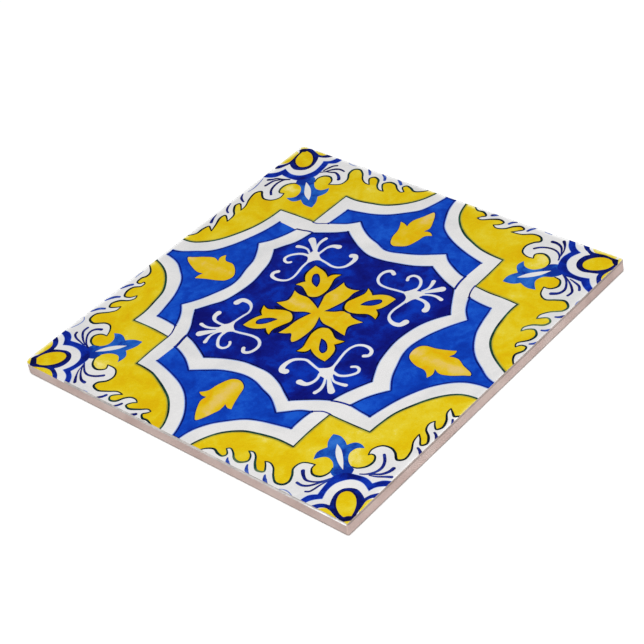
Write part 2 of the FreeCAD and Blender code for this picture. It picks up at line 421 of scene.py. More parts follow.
# The yellow corner fields: the edge along the straps, and the flames and ball on either side of the corner
YELLOW_FIELDS = {
    "front_right": {
        "strap": [
            [(76, -8.8)],
            [(70, -9.6), (66, -11.9), (62, -16.3), (58.5, -22.3), (56, -28), (54.9, -34.2),
             (54.5, -39.2)],
            [(46, -39.5), (37.8, -39.6)], [(37.3, -48), (37.5, -57.4)],
            [(30, -57.5), (22.3, -59.1), (17.8, -60.7), (12.4, -64.9), (9.2, -69.8), (7.3, -75)]],
        "near_flames": [
            [(11.6, -75)],
            [(13.2, -73), (15.7, -71.8), (18.2, -72.7), (20.4, -72.8), (21.1, -71.5), (19.1, -69.5)],
            [(20.2, -68.7), (22.3, -69.7), (24.5, -71.6), (27, -72), (29.2, -70.1), (28.4, -67.9),
             (26.3, -66.5)],
            [(28, -66), (29.9, -67.1), (32.2, -70), (34.6, -71.8), (37, -71), (35.9, -69),
             (34.2, -67.3)],
            [(36, -66.9), (38.4, -68), (41, -70.9), (43.6, -72.7), (46.2, -72.1), (47, -70.2),
             (46, -67.5), (44.2, -64.8), (44.9, -61.5), (49.2, -59.9)]],
        "near_ball": [
            [(49.2, -59.9)], [(49.3, -61.8), (51.4, -63.7), (54.1, -63.1), (55.4, -60.5), (55, -58.2)]],
        "far_ball": [
            [(59.8, -54.5)],
            [(61.7, -54.1), (63.9, -51.8), (64.3, -49), (63, -46.9), (61.6, -46.8), (60.9, -47.6)]],
        "far_flames": [
            [(60.9, -47.6)],
            [(60.3, -45), (62, -42.1), (65.1, -41.4), (67.6, -42.4), (70.2, -44.6), (72, -43.2),
             (71.6, -39.4), (69.4, -35.3), (68.9, -31.8)],
            [(70.4, -33.2), (72.5, -35.5), (73.7, -34), (72.2, -31.2), (69.4, -28.9), (68.6, -26.2),
             (69.5, -24.4)],
            [(70.8, -26.2), (72.2, -27.2), (73.3, -25.6), (72.5, -22.4), (70.4, -19.3), (70.2, -17)],
            [(72, -18.4), (73.4, -19.4), (74.6, -18.6), (76, -17)]],
    },
    "front_left": {
        "strap": [
            [(-75, -8.3)],
            [(-70, -10), (-66, -12.3), (-62.2, -15.9), (-58.8, -20.8), (-57.3, -26.7), (-56.3, -32.5),
             (-56.4, -38.2)],
            [(-46.3, -38), (-38.6, -38.5)], [(-38.6, -46.5), (-38.2, -54.6)],
            [(-34.4, -54.7), (-29.8, -55.3), (-25, -57), (-19.9, -59.3), (-15, -62.2), (-10, -67.4),
             (-7.4, -72.2), (-6.8, -75)]],
        "near_flames": [
            [(-10, -75)], [(-13.8, -73.6), (-16, -73.7), (-17.5, -72.2), (-16.4, -71), (-15.8, -69.8)],
            [(-17.4, -69.5), (-20, -71.1), (-23.7, -72.8), (-25.6, -72), (-24.8, -70.3), (-23.2, -69.1)],
            [(-24.6, -68.2), (-27, -68.3), (-28.8, -69.8), (-30.3, -72.4), (-32.6, -73.1),
             (-33.8, -71.6), (-30.7, -68.8)],
            [(-33.2, -68.6), (-36.4, -70.3), (-39.9, -71.8), (-43, -70.8), (-43, -69), (-40.6, -66.5),
             (-40.2, -63.5), (-42.4, -60.8), (-46.7, -60.5)]],
        "near_ball": [
            [(-46.7, -60.5)],
            [(-45.8, -62.4), (-48.4, -64.2), (-51.6, -63.2), (-53.3, -60.4), (-53, -58.4)]],
        "far_ball": [
            [(-57, -55.1)], [(-59.4, -55.6), (-61.9, -54.3), (-62.8, -52), (-61.4, -50), (-58.7, -49.5)]],
        "far_flames": [
            [(-58.7, -49.5)],
            [(-60, -46.6), (-62, -44.7), (-64.4, -44.7), (-68.4, -47), (-71.2, -46), (-71.4, -42.9),
             (-67.6, -39.4), (-66.1, -37.4), (-66.3, -35.1)],
            [(-68, -36.6), (-69.8, -37.4), (-70.7, -35.6), (-69.3, -33), (-66, -30.9), (-65, -28.9),
             (-65.6, -27.5)],
            [(-67.2, -29.6), (-69.4, -30.1), (-70.8, -27.6), (-70.4, -24.8), (-68.2, -22.8),
             (-68.2, -20.8), (-69.1, -20.5)],
            [(-69.7, -21.9), (-71.3, -21.8), (-71.6, -19.2), (-70.7, -17.5), (-71.1, -15.1),
             (-75, -11.8)]],
    },
    "back_right": {
        "strap": [
            [(6.3, 75)],
            [(8.4, 68.2), (12.2, 63.3), (17.6, 59.2), (22.5, 57), (27.4, 55.2), (32.2, 54.3),
             (38.4, 53.9)],
            [(38.8, 45), (38.9, 37.3)], [(45, 36.7), (51, 36.8), (57.5, 36.5)],
            [(57.3, 33), (57.9, 27), (59, 21.5), (61.3, 16), (65.2, 11.7), (69.8, 8.6), (76, 5.4)]],
        "near_flames": [
            [(76, 9.4)], [(73, 12.7), (72.3, 14.9), (73.7, 18), (73.2, 19.8), (71.3, 19.7), (70.1, 18)],
            [(69.3, 19.8), (72.2, 23.4), (72.6, 26.3), (70.5, 28.4), (68.4, 27.6), (66.9, 25.6)],
            [(66.4, 27.4), (68.2, 30), (71.8, 32), (72.6, 34.2), (70.9, 35.6), (67.6, 33.5)],
            [(67.4, 35.6), (69.3, 38.4), (72.9, 41.3), (73.3, 43.6), (70.6, 45.8), (67.4, 44.7),
             (64.2, 43.2), (61.2, 44.8), (59.8, 48.6)]],
        "near_ball": [[(59.8, 48.6)], [(62.3, 48.9), (63.9, 51.3), (62.6, 54.2), (60, 54.8)]],
        "far_ball": [[(54, 58.2)], [(53.8, 60.4), (51.6, 62.9), (48.8, 63.7), (46.5, 62.2), (47.2, 59.9)]],
        "far_flames": [
            [(47.2, 59.9)],
            [(44.4, 59.7), (41.6, 61.2), (40.7, 64.4), (42, 67.3), (43.8, 69.2), (42.4, 71.1),
             (39.2, 71.3), (35.4, 69.2), (31.2, 68.6)],
            [(33, 70.2), (34.5, 72), (32.5, 72.9), (30.2, 71.6), (27.9, 69), (25, 67.9), (23, 68.9)],
            [(25, 70.3), (25.6, 71.8), (23.4, 72.6), (20.2, 71.2), (17.2, 69.3), (15.3, 69.5)],
            [(16.3, 70.9), (17.4, 72), (15.2, 73.5), (12.6, 73.3), (10.2, 75)]],
    },
    "back_left": {
        "strap": [
            [(-75, 5.9)],
            [(-70, 6.5), (-66, 8.8), (-62.2, 12.4), (-58.6, 18.2), (-55.7, 24.8), (-54.2, 31.4),
             (-53.7, 38)],
            [(-46, 38.3), (-37.4, 38.4)], [(-37.2, 48), (-37, 56.8)],
            [(-31.5, 56.6), (-25, 57.9), (-19.9, 59.5), (-14.1, 63.6), (-10, 68.7), (-7.4, 75)]],
        "near_flames": [
            [(-11, 75)],
            [(-13, 73), (-15.8, 71.5), (-18.4, 72.6), (-20.6, 72.9), (-21.4, 71.6), (-19.1, 69.5)],
            [(-20.2, 68.7), (-22.6, 69.7), (-24.9, 71.6), (-27.6, 71.8), (-29.5, 69.8), (-28.2, 67.6),
             (-26.4, 66)],
            [(-28.6, 66), (-30.7, 67.6), (-32.8, 70.9), (-35.2, 71.6), (-36.4, 70.2), (-34, 66.9)],
            [(-36, 66.9), (-38.6, 68.4), (-41, 71.3), (-43.6, 72.8), (-45.7, 71.8), (-45.8, 69),
             (-43.7, 65.4), (-44, 62), (-48.2, 59.5)]],
        "near_ball": [
            [(-48.2, 59.5)], [(-48.6, 61.8), (-50.8, 63.6), (-53.4, 62.9), (-54.6, 60.6), (-54, 58.2)]],
        "far_ball": [
            [(-58.2, 53.8)], [(-60.6, 53.7), (-62.8, 51.4), (-63, 48.2), (-61.8, 46.3), (-59.8, 46.7)]],
        "far_flames": [
            [(-59.8, 46.7)],
            [(-59.4, 43.6), (-61.4, 40.9), (-64.6, 40.3), (-66.6, 41.6), (-68.6, 43.4), (-70.1, 41.6),
             (-69.4, 37.3), (-67.7, 33.4), (-67.4, 30.4)],
            [(-69, 32.2), (-70.7, 33.4), (-71.5, 31.8), (-69.8, 29), (-67.7, 26.8), (-67.2, 22.5)],
            [(-68.8, 24), (-70.6, 25), (-71.2, 23), (-69.6, 18.6), (-68.4, 15)],
            [(-70, 16.1), (-71.4, 16.8), (-72.3, 14.2), (-72.5, 11), (-75, 8.2)]],
    },
}

# The blue fleurs, each once round from the tip of its middle leaf, then the white slit down the middle leaf
FLEURS = {
    "front_right": (
        [[(44.9, -46.1)], [(47.4, -45.6), (50, -46.4), (52, -47.7)],
         [(53.6, -45.4), (55.8, -45), (58, -45.9)],
         [(55.7, -47.4), (55.3, -50.2), (57.4, -53.2), (61.2, -55)],
         [(61.8, -57.2), (60, -60), (57.4, -60.8), (55.5, -60)],
         [(55.2, -58.4), (53, -56), (50, -55.4), (47.1, -58.4)], [(45.9, -55.2), (47.3, -51.8)],
         [(45.6, -49.4), (44.9, -46.1)]],
        [[(49, -49)], [(51.8, -50.3), (55.2, -53.3), (58.3, -57)],
         [(54.9, -55.4), (51.4, -52.6), (49, -49)]]),
    "front_left": (
        [[(-44.8, -45.2)], [(-44.9, -48.2), (-46.6, -51.7)], [(-44.3, -54), (-44.6, -57.7)],
         [(-46.8, -55.2), (-50, -55.5), (-52.6, -57.6), (-53.6, -60.8)],
         [(-55.4, -61.5), (-57.6, -61.6), (-59.8, -59.6), (-60, -57.2), (-59.3, -55.7)],
         [(-57, -55), (-54.8, -52.6), (-55, -49.5), (-57.4, -47.1)], [(-54.4, -46.2), (-50.9, -47.8)],
         [(-48.4, -46), (-44.8, -45.2)]],
        [[(-48.2, -49.6)], [(-49.6, -52.3), (-52.4, -55.2), (-56, -57.8)],
         [(-54.7, -54.9), (-52, -51.9), (-48.2, -49.6)]]),
    "back_right": (
        [[(45.5, 44.2)], [(45.3, 47.4), (47.2, 50.7)], [(44.6, 53.9), (45.3, 57)],
         [(47.4, 54.7), (50.6, 54.5), (53, 56.5), (54.4, 60)], [(57, 61.2), (60.4, 59.6), (61.2, 57)],
         [(59.4, 54.6), (56.4, 53), (55.3, 50), (58.2, 46)], [(54.8, 45.4), (51.5, 46.5)],
         [(49.2, 44.7), (45.5, 44.2)]],
        [[(48.6, 48.3)], [(50.4, 51.7), (53.2, 54.5), (56.8, 57.2)],
         [(55, 53.5), (52.2, 50.5), (48.6, 48.3)]]),
    "back_left": (
        [[(-44, 44.9)], [(-48, 44.9), (-51.1, 46.7)], [(-53.2, 44.4), (-57, 44.9)],
         [(-54.4, 47), (-54.6, 50.2), (-56.9, 53), (-60.2, 54)],
         [(-61, 56.4), (-59, 59.8), (-56.2, 60.4), (-54.8, 59.4)],
         [(-53.6, 57.3), (-51, 55.1), (-48.4, 55.1), (-46.4, 57.8)], [(-45.3, 54.9), (-46.7, 51.3)],
         [(-44.9, 48.4), (-44, 44.9)]],
        [[(-48.2, 48)], [(-50, 51.2), (-53, 54.3), (-57, 56.5)], [(-55, 53.4), (-52, 49.9), (-48.2, 48)]]),
}

# The royal blue bands round the bosses
BANDS = {
    "front_right": [
        [(76, -52.6)], [(72.4, -54.1), (70.2, -56.9)], [(67.1, -56), (63.6, -56.5), (60.2, -57.4)],
        [(57.6, -60.8), (57.8, -65), (58.6, -69.6)], [(56.3, -71.6), (55.5, -75)], [(57.5, -75)],
        [(58.6, -72.6), (61.1, -70.3)],
        [(60, -66.3), (60.4, -62.6), (63.3, -59), (67.1, -58.2), (71.4, -60)],
        [(72.3, -57.6), (76, -54.6)]],
    "front_left": [
        [(-75, -55.3)], [(-72.2, -55.2), (-69.9, -56.5), (-68.5, -58.2)],
        [(-64, -57.6), (-59.6, -57.2)], [(-55.4, -61.4), (-55.2, -65.7), (-56, -69.8)],
        [(-53.4, -71.7), (-51.4, -75)], [(-53.7, -75)], [(-55.6, -72.2), (-59, -70.7)],
        [(-57.4, -66.8), (-58, -63.2), (-61.1, -60.5), (-65.5, -60), (-69.2, -61.3)],
        [(-71.4, -58.4), (-75, -56.8)]],
    "back_right": [
        [(52.2, 75)], [(54.1, 71.5), (56.7, 69.2)], [(55.9, 65.2), (57.4, 59.8)],
        [(61.4, 57.2), (65.2, 57.2), (69.2, 57.2)], [(71.7, 55.1), (76, 53.2)], [(76, 55.3)],
        [(72.7, 57.6), (70.7, 60)], [(66.5, 59.1), (62.2, 60), (59, 63.3), (58.4, 66.6), (59.9, 70.5)],
        [(57, 71.9), (54.5, 75)]],
    "back_left": [
        [(-54.3, 75)], [(-54.8, 72), (-57.4, 70.2)], [(-56.7, 66), (-56.5, 61.2), (-58.4, 58.4)],
        [(-60.4, 56), (-65, 55.3), (-69, 55.7)], [(-70.5, 52.9), (-75, 50.8)], [(-75, 53.4)],
        [(-71.7, 56), (-70.4, 59.4)],
        [(-65.7, 57.8), (-61.7, 59), (-59.2, 63.2), (-59.4, 67.6), (-60.2, 70.5)],
        [(-57.9, 72), (-56.6, 75)]],
}

# The yellow bosses, each with a bite at its outer end
BOSSES = {
    "front_right": [
        [(71.9, -72.8)],
        [(69.6, -72.2), (66.8, -70.3), (65, -67.7), (64.5, -65.6), (65.2, -64), (66.8, -63.3),
         (69.2, -64), (71.4, -66), (72.9, -68.6), (73.7, -71.2)],
        [(72.7, -71.8), (71.9, -72.8)]],
    "front_left": [
        [(-70.1, -73.3)],
        [(-68, -73), (-65.5, -71.6), (-63.5, -69.3), (-62.8, -67), (-63.3, -65.1), (-64.9, -64.2),
         (-66.8, -64.4), (-69.2, -65.7), (-71, -67.6), (-72, -69.6), (-72.2, -71.3)],
        [(-71.2, -72.2), (-70.1, -73.3)]],
    "back_right": [
        [(71.8, 72)],
        [(70.1, 72.3), (68, 71.9), (66, 70.6), (64.5, 68.7), (63.9, 66.7), (64.4, 65.1), (65.7, 64),
         (67.5, 63.8), (69.8, 64.6), (71.7, 66), (73, 67.5), (73.8, 70.3)],
        [(72.8, 71), (71.8, 72)]],
    "back_left": [
        [(-72, 71.4)],
        [(-71.9, 69.4), (-71.3, 66.9), (-70, 65), (-68, 63.6), (-66, 63.2), (-64.2, 64.2),
         (-63.5, 65.8), (-64, 67.9), (-65.6, 70.2), (-68, 72), (-70.8, 72.7)],
        [(-71.2, 71.9), (-72, 71.4)]],
}

# The rings round the bosses, with a flare to the edge on either side
RINGS = {
    "front_right": [
        [(76, -57.8)], [(73.2, -60.6), (72.2, -63.1)],
        [(70, -61.9), (67.7, -61.3), (65.5, -62), (63.7, -63.6), (63.1, -66), (63.7, -68.8),
         (64.9, -71.2)],
        [(63, -71.6), (61.4, -72.6), (59.7, -75)], [(62.2, -75)],
        [(63, -73.6), (64.6, -72.8), (66.4, -72.9), (68.4, -73.6), (70.4, -74.2), (73.2, -74.4)],
        [(74.8, -72.8)],
        [(74.9, -71), (74.4, -68.8), (73.9, -66.2), (73.5, -64), (74, -62.2), (76, -60.4)]],
    "front_left": [
        [(-75, -58.9)], [(-72.4, -60.5), (-70.9, -62.4), (-70.4, -64.7)],
        [(-67.6, -63.4), (-65, -62.7), (-62.6, -63.3), (-60.9, -65.2), (-60.4, -67.4), (-60.9, -69.8),
         (-62.3, -71.8)],
        [(-60.3, -72.6), (-58.5, -73.8), (-57.2, -75.4)], [(-59.4, -75.4)],
        [(-61.2, -73.9), (-63.2, -73.2), (-65.5, -73.4), (-67.8, -74.2), (-69.6, -74.9), (-71.7, -75.2)],
        [(-74, -72.3)],
        [(-73.8, -71), (-73.2, -69.8), (-72.6, -67.4), (-72.2, -65), (-72.7, -63.2), (-75, -61)]],
    "back_right": [
        [(57.9, 75)], [(60, 72.9), (61.8, 72), (63.4, 71.1)],
        [(62.2, 69.8), (61.6, 67.6), (61.8, 65.4), (62.8, 63.6), (64.6, 62.3), (66.8, 62), (69.2, 62.7),
         (72, 63.6)],
        [(72.3, 62), (73.4, 60.2), (76, 57.3)], [(76, 60)],
        [(74.3, 61.8), (73.8, 63.6), (74, 65.2), (74.6, 67.2), (75, 69.4), (74.8, 71.2)],
        [(73.6, 73.4)], [(71, 73.3), (68, 73.5), (65.4, 73), (63.6, 72.8), (62, 73.4), (60.4, 75)]],
    "back_left": [
        [(-58.6, 75)], [(-61, 72.7), (-63.9, 71.7)],
        [(-62.8, 69.6), (-62, 66.6), (-62.1, 64.3), (-63, 62.5), (-65, 61.2), (-67, 60.7), (-69, 61.3),
         (-71, 62.6)],
        [(-71.9, 60.2), (-72.8, 58.4), (-74, 57.4)], [(-75, 58.6), (-74.4, 59.8), (-73.2, 61.2)],
        [(-72.2, 63.2), (-72.2, 65.4), (-72.6, 67.6), (-73, 70.6), (-74, 71.6)],
        [(-73.6, 72.9), (-72, 74)],
        [(-70.3, 74.6), (-68.4, 74.3), (-66, 73.4), (-64.4, 73), (-63, 73.4), (-61.6, 75)]],
}

# The yellow slips between the rings and the tile's edge, the last in its corner; the rings lap over them
SLIPS = {
    "front_right": [
        [[(76, -61)], [(74, -62.6), (73.2, -65), (73.6, -67.6), (76, -69.6)]],
        [[(62, -76)], [(63.4, -73.6), (66, -72.4), (69, -73), (71, -76)]],
        [[(72.6, -76)], [(73.2, -74)], [(74.6, -72.6)], [(76, -72.6)], [(76, -76)]]],
    "front_left": [
        [[(-76, -61.6)], [(-73, -62.6), (-71.8, -65.4), (-72.6, -68.8), (-76, -71)]],
        [[(-58.8, -76)], [(-60.6, -74.2), (-63, -72.8), (-66.4, -73), (-69.6, -74), (-71, -76)]],
        [[(-71, -76)], [(-73.6, -72)], [(-76, -72.4)], [(-76, -76)]]],
    "back_right": [
        [[(61.4, 76)], [(63.4, 73.4), (66, 72.6), (69.4, 72.8), (72, 73), (72.4, 76)]],
        [[(76, 60.8)], [(74.2, 62), (73.4, 64), (73.8, 66.4), (76, 68.4)]],
        [[(73.4, 76)], [(73.4, 73)], [(74.6, 71.2)], [(76, 71)], [(76, 76)]]],
    "back_left": [
        [[(-68.4, 76)], [(-67.4, 73.8), (-65, 72.6), (-63, 73), (-62, 76)]],
        [[(-76, 60.6)], [(-73.2, 61.8), (-71.8, 64.6), (-72.4, 69.6), (-76, 71)]],
        [[(-76, 73)], [(-73.4, 72.6)], [(-71.6, 74.2)], [(-71.6, 76)], [(-76, 76)]]],
}

# Brushed lines that fan out beside the fleurs: the brush's widths from start to end and the points
FAN_LINES = [
    ((0.4, 0.9, 0.8), [(64.1, -55.7), (66, -54.6), (67.9, -52.2), (68.3, -49.8), (67.4, -47.4),
                       (65.2, -44.9)]),
    ((0.4, 0.7, 1.1), [(64.6, -55.5), (67.4, -53.8), (70, -52.2), (71.4, -50), (71.7, -48.2)]),
    ((0.4, 0.6, 0.9), [(67.1, -54.6), (69.5, -53.8), (71.7, -52.5), (73.6, -51.5)]),
    ((0.5, 0.6, 1.1), [(57.4, -62.2), (55.5, -64.9), (53.3, -66.3), (51.1, -66.7), (49, -65.5),
                       (47.6, -64.1)]),
    ((0.5, 0.7, 0.8), [(57.4, -63), (55.5, -65.7), (53.6, -68.2), (51.7, -69.2), (49.5, -69.1)]),
    ((0.4, 0.6, 0.6), [(57.4, -63.6), (56.5, -66.3), (56, -68.7), (55.5, -70), (54.4, -70.7)]),
    ((0.5, 0.6, 1.0), [(-59.8, -57.6), (-61.9, -56.5), (-64.1, -54.4), (-65.5, -52.2), (-65.7, -50.3),
                       (-64.7, -48.8), (-63, -48)]),
    ((0.4, 0.7, 0.8), [(-61.9, -57.1), (-64.4, -55.7), (-66.8, -53.8), (-68.2, -52), (-68.3, -49.8)]),
    ((0.4, 0.6, 0.8), [(-62.5, -57.3), (-65.2, -56.7), (-67.9, -56), (-69.5, -54.9), (-69.9, -53.8)]),
    ((0.5, 0.7, 0.9), [(-54.9, -64.1), (-53, -66), (-51.1, -67.4), (-49, -67.9), (-46.3, -67.1),
                       (-43.8, -65.2)]),
    ((0.4, 0.6, 1.0), [(-54.6, -64.9), (-53, -67.4), (-51.1, -69.5), (-49, -71), (-47.1, -71.3)]),
    ((0.3, 0.5, 1.0), [(-54.4, -65.5), (-53.6, -68.2), (-52.2, -70.6), (-50.3, -73)]),
    ((0.5, 0.7, 0.8), [(55.5, 63.3), (54.6, 65.2), (52.8, 66.8), (50.3, 67.5), (47.6, 67.1), (45.5, 66),
                       (44.2, 64.6)]),
    ((0.4, 0.7, 1.1), [(54.9, 65.5), (53.6, 67.9), (52, 69.9), (49.8, 70.9), (47.6, 70.9)]),
    ((0.3, 0.5, 1.0), [(54.9, 65.7), (54.1, 68.7), (52.8, 71.1), (51.1, 73)]),
    ((0.5, 0.7, 1.2), [(61.7, 57.3), (64.1, 55.5), (66, 53), (66.9, 50.6), (66.3, 48.4), (64.1, 46.8)]),
    ((0.4, 0.7, 0.8), [(63, 56.8), (66, 54.9), (68.2, 53), (69.8, 50.9), (69.6, 48.7)]),
    ((0.4, 0.7, 0.8), [(65.2, 56.5), (67.9, 55.7), (70, 54.8), (71.4, 53)]),
    ((0.5, 0.7, 1.1), [(-56.3, 64.1), (-54.6, 65.5), (-52.8, 66), (-50.9, 66.7), (-49, 66),
                       (-47.6, 64.9), (-46.8, 63.8)]),
    ((0.6, 0.9, 0.6), [(-54.6, 65.9), (-52.8, 68.2), (-50.9, 69.2), (-48.4, 69)]),
    ((0.6, 0.8, 0.7), [(-55.9, 65.7), (-55.2, 68.2), (-54.4, 69.9), (-53.3, 70.7)]),
    ((0.7, 0.8, 0.8), [(-64.1, 54.7), (-65.7, 53.6), (-66.7, 50.9), (-66.5, 48.2), (-65.6, 45.7),
                       (-63.8, 43.7)]),
    ((0.6, 0.8, 0.9), [(-66.7, 53.4), (-69, 50.9), (-69.5, 49), (-69.8, 47.1)]),
    ((0.5, 0.6, 1.0), [(-64.1, 54.7), (-66.5, 53.6), (-69, 52.8), (-70.3, 51.4), (-71.5, 50.5)]),
]

# Short commas along the tile's edges, and thin pale lines beside the corners
COMMAS = [
    ((0.9, 0.9, 0.5), [(-35.5, -72), (-36.1, -73.2), (-37.9, -74.8)]),
    ((0.8, 0.8, 0.4), [(-27.5, -72.3), (-28.2, -73.6), (-29.6, -74.8)]),
    ((1.0, 1.0, 0.4), [(-19.4, -73.5), (-20.3, -74.3), (-21.4, -74.8)]),
    ((0.4, 1.0, 0.4), [(22.5, -72.5), (23.5, -73.8), (25.5, -74.7)]),
    ((0.5, 1.0, 0.5), [(30.3, -71.5), (31.4, -73.2), (33.6, -74.7)]),
    ((0.5, 1.1, 0.5), [(38.4, -72), (39.5, -73.4), (41.7, -74.7)]),
    ((0.4, 0.9, 0.7), [(-40.5, 74.4), (-39.1, 73.4), (-38, 72)]),
    ((0.4, 0.9, 0.8), [(-33.6, 74.4), (-31.6, 73.4), (-30.5, 71.8)]),
    ((0.4, 0.9, 0.9), [(-25.9, 74.4), (-24.3, 73.6), (-23.1, 72.6)]),
    ((1.0, 1.0, 0.4), [(19.2, 73.4), (20, 73.9), (21.1, 74.3)]),
    ((0.9, 0.8, 0.4), [(27.7, 72.2), (28.4, 73.4), (29.8, 74.2)]),
    ((0.8, 0.9, 0.6), [(36.1, 71.9), (36.7, 73.2), (37.7, 74.4)]),
    ((0.9, 0.9, 0.5), [(-71.8, -23.7), (-72.8, -24.9), (-74, -27.5)]),
    ((0.8, 1.0, 0.5), [(-70.9, -31.3), (-72.6, -32.6), (-74.1, -35.5)]),
    ((0.8, 1.0, 0.5), [(-70.8, -39), (-72.6, -40.1), (-74.1, -42.6)]),
    ((0.4, 0.8, 0.6), [(-74, 38.7), (-72.6, 36.3), (-70.3, 35)]),
    ((0.3, 0.7, 0.6), [(-74, 31.8), (-73.2, 29.2), (-72, 27.5), (-70.7, 26.8)]),
    ((0.3, 0.7, 1.0), [(-74, 23.7), (-73.4, 21.3), (-72.3, 19)]),
    ((0.6, 0.7, 0.7), [(73.9, -20.9), (75, -22.4), (76, -23.8)]),
    ((0.6, 0.8, 0.7), [(72.6, -28.7), (73.8, -29.4), (76, -32.2)]),
    ((0.6, 0.9, 0.7), [(72.4, -37), (73.8, -37.7), (76, -39.8)]),
    ((0.6, 1.0, 0.8), [(72.6, 37.3), (73.8, 37.9), (76, 40.4)]),
    ((0.6, 0.9, 0.7), [(72.6, 29.3), (73.8, 29.8), (76, 32.2)]),
    ((0.6, 0.9, 0.7), [(73.3, 21.6), (74.2, 22.3), (76, 24.8)]),
]
EDGE_LINES = [
    [(-46, -74.8), (-44, -74.4), (-42.6, -74.4), (-41.1, -74.9)],
    [(46.3, -74.5), (47.9, -73.7), (50, -73.7), (52.2, -74.5)],
    [(-50.3, 74.2), (-48.4, 73.8), (-46.5, 74)],
    [(42, 74.3), (45, 74.2)],
    [(-74, -46.3), (-72.8, -47.6), (-72.6, -49.5), (-73.7, -52.8)],
    [(-74, -16), (-74, -20)],
    [(-74, 50.3), (-73.3, 47.6), (-72.8, 43.6), (-73.2, 40.9)],
    [(74.8, 48.4), (74.5, 47.1), (74.9, 45.5)],
]

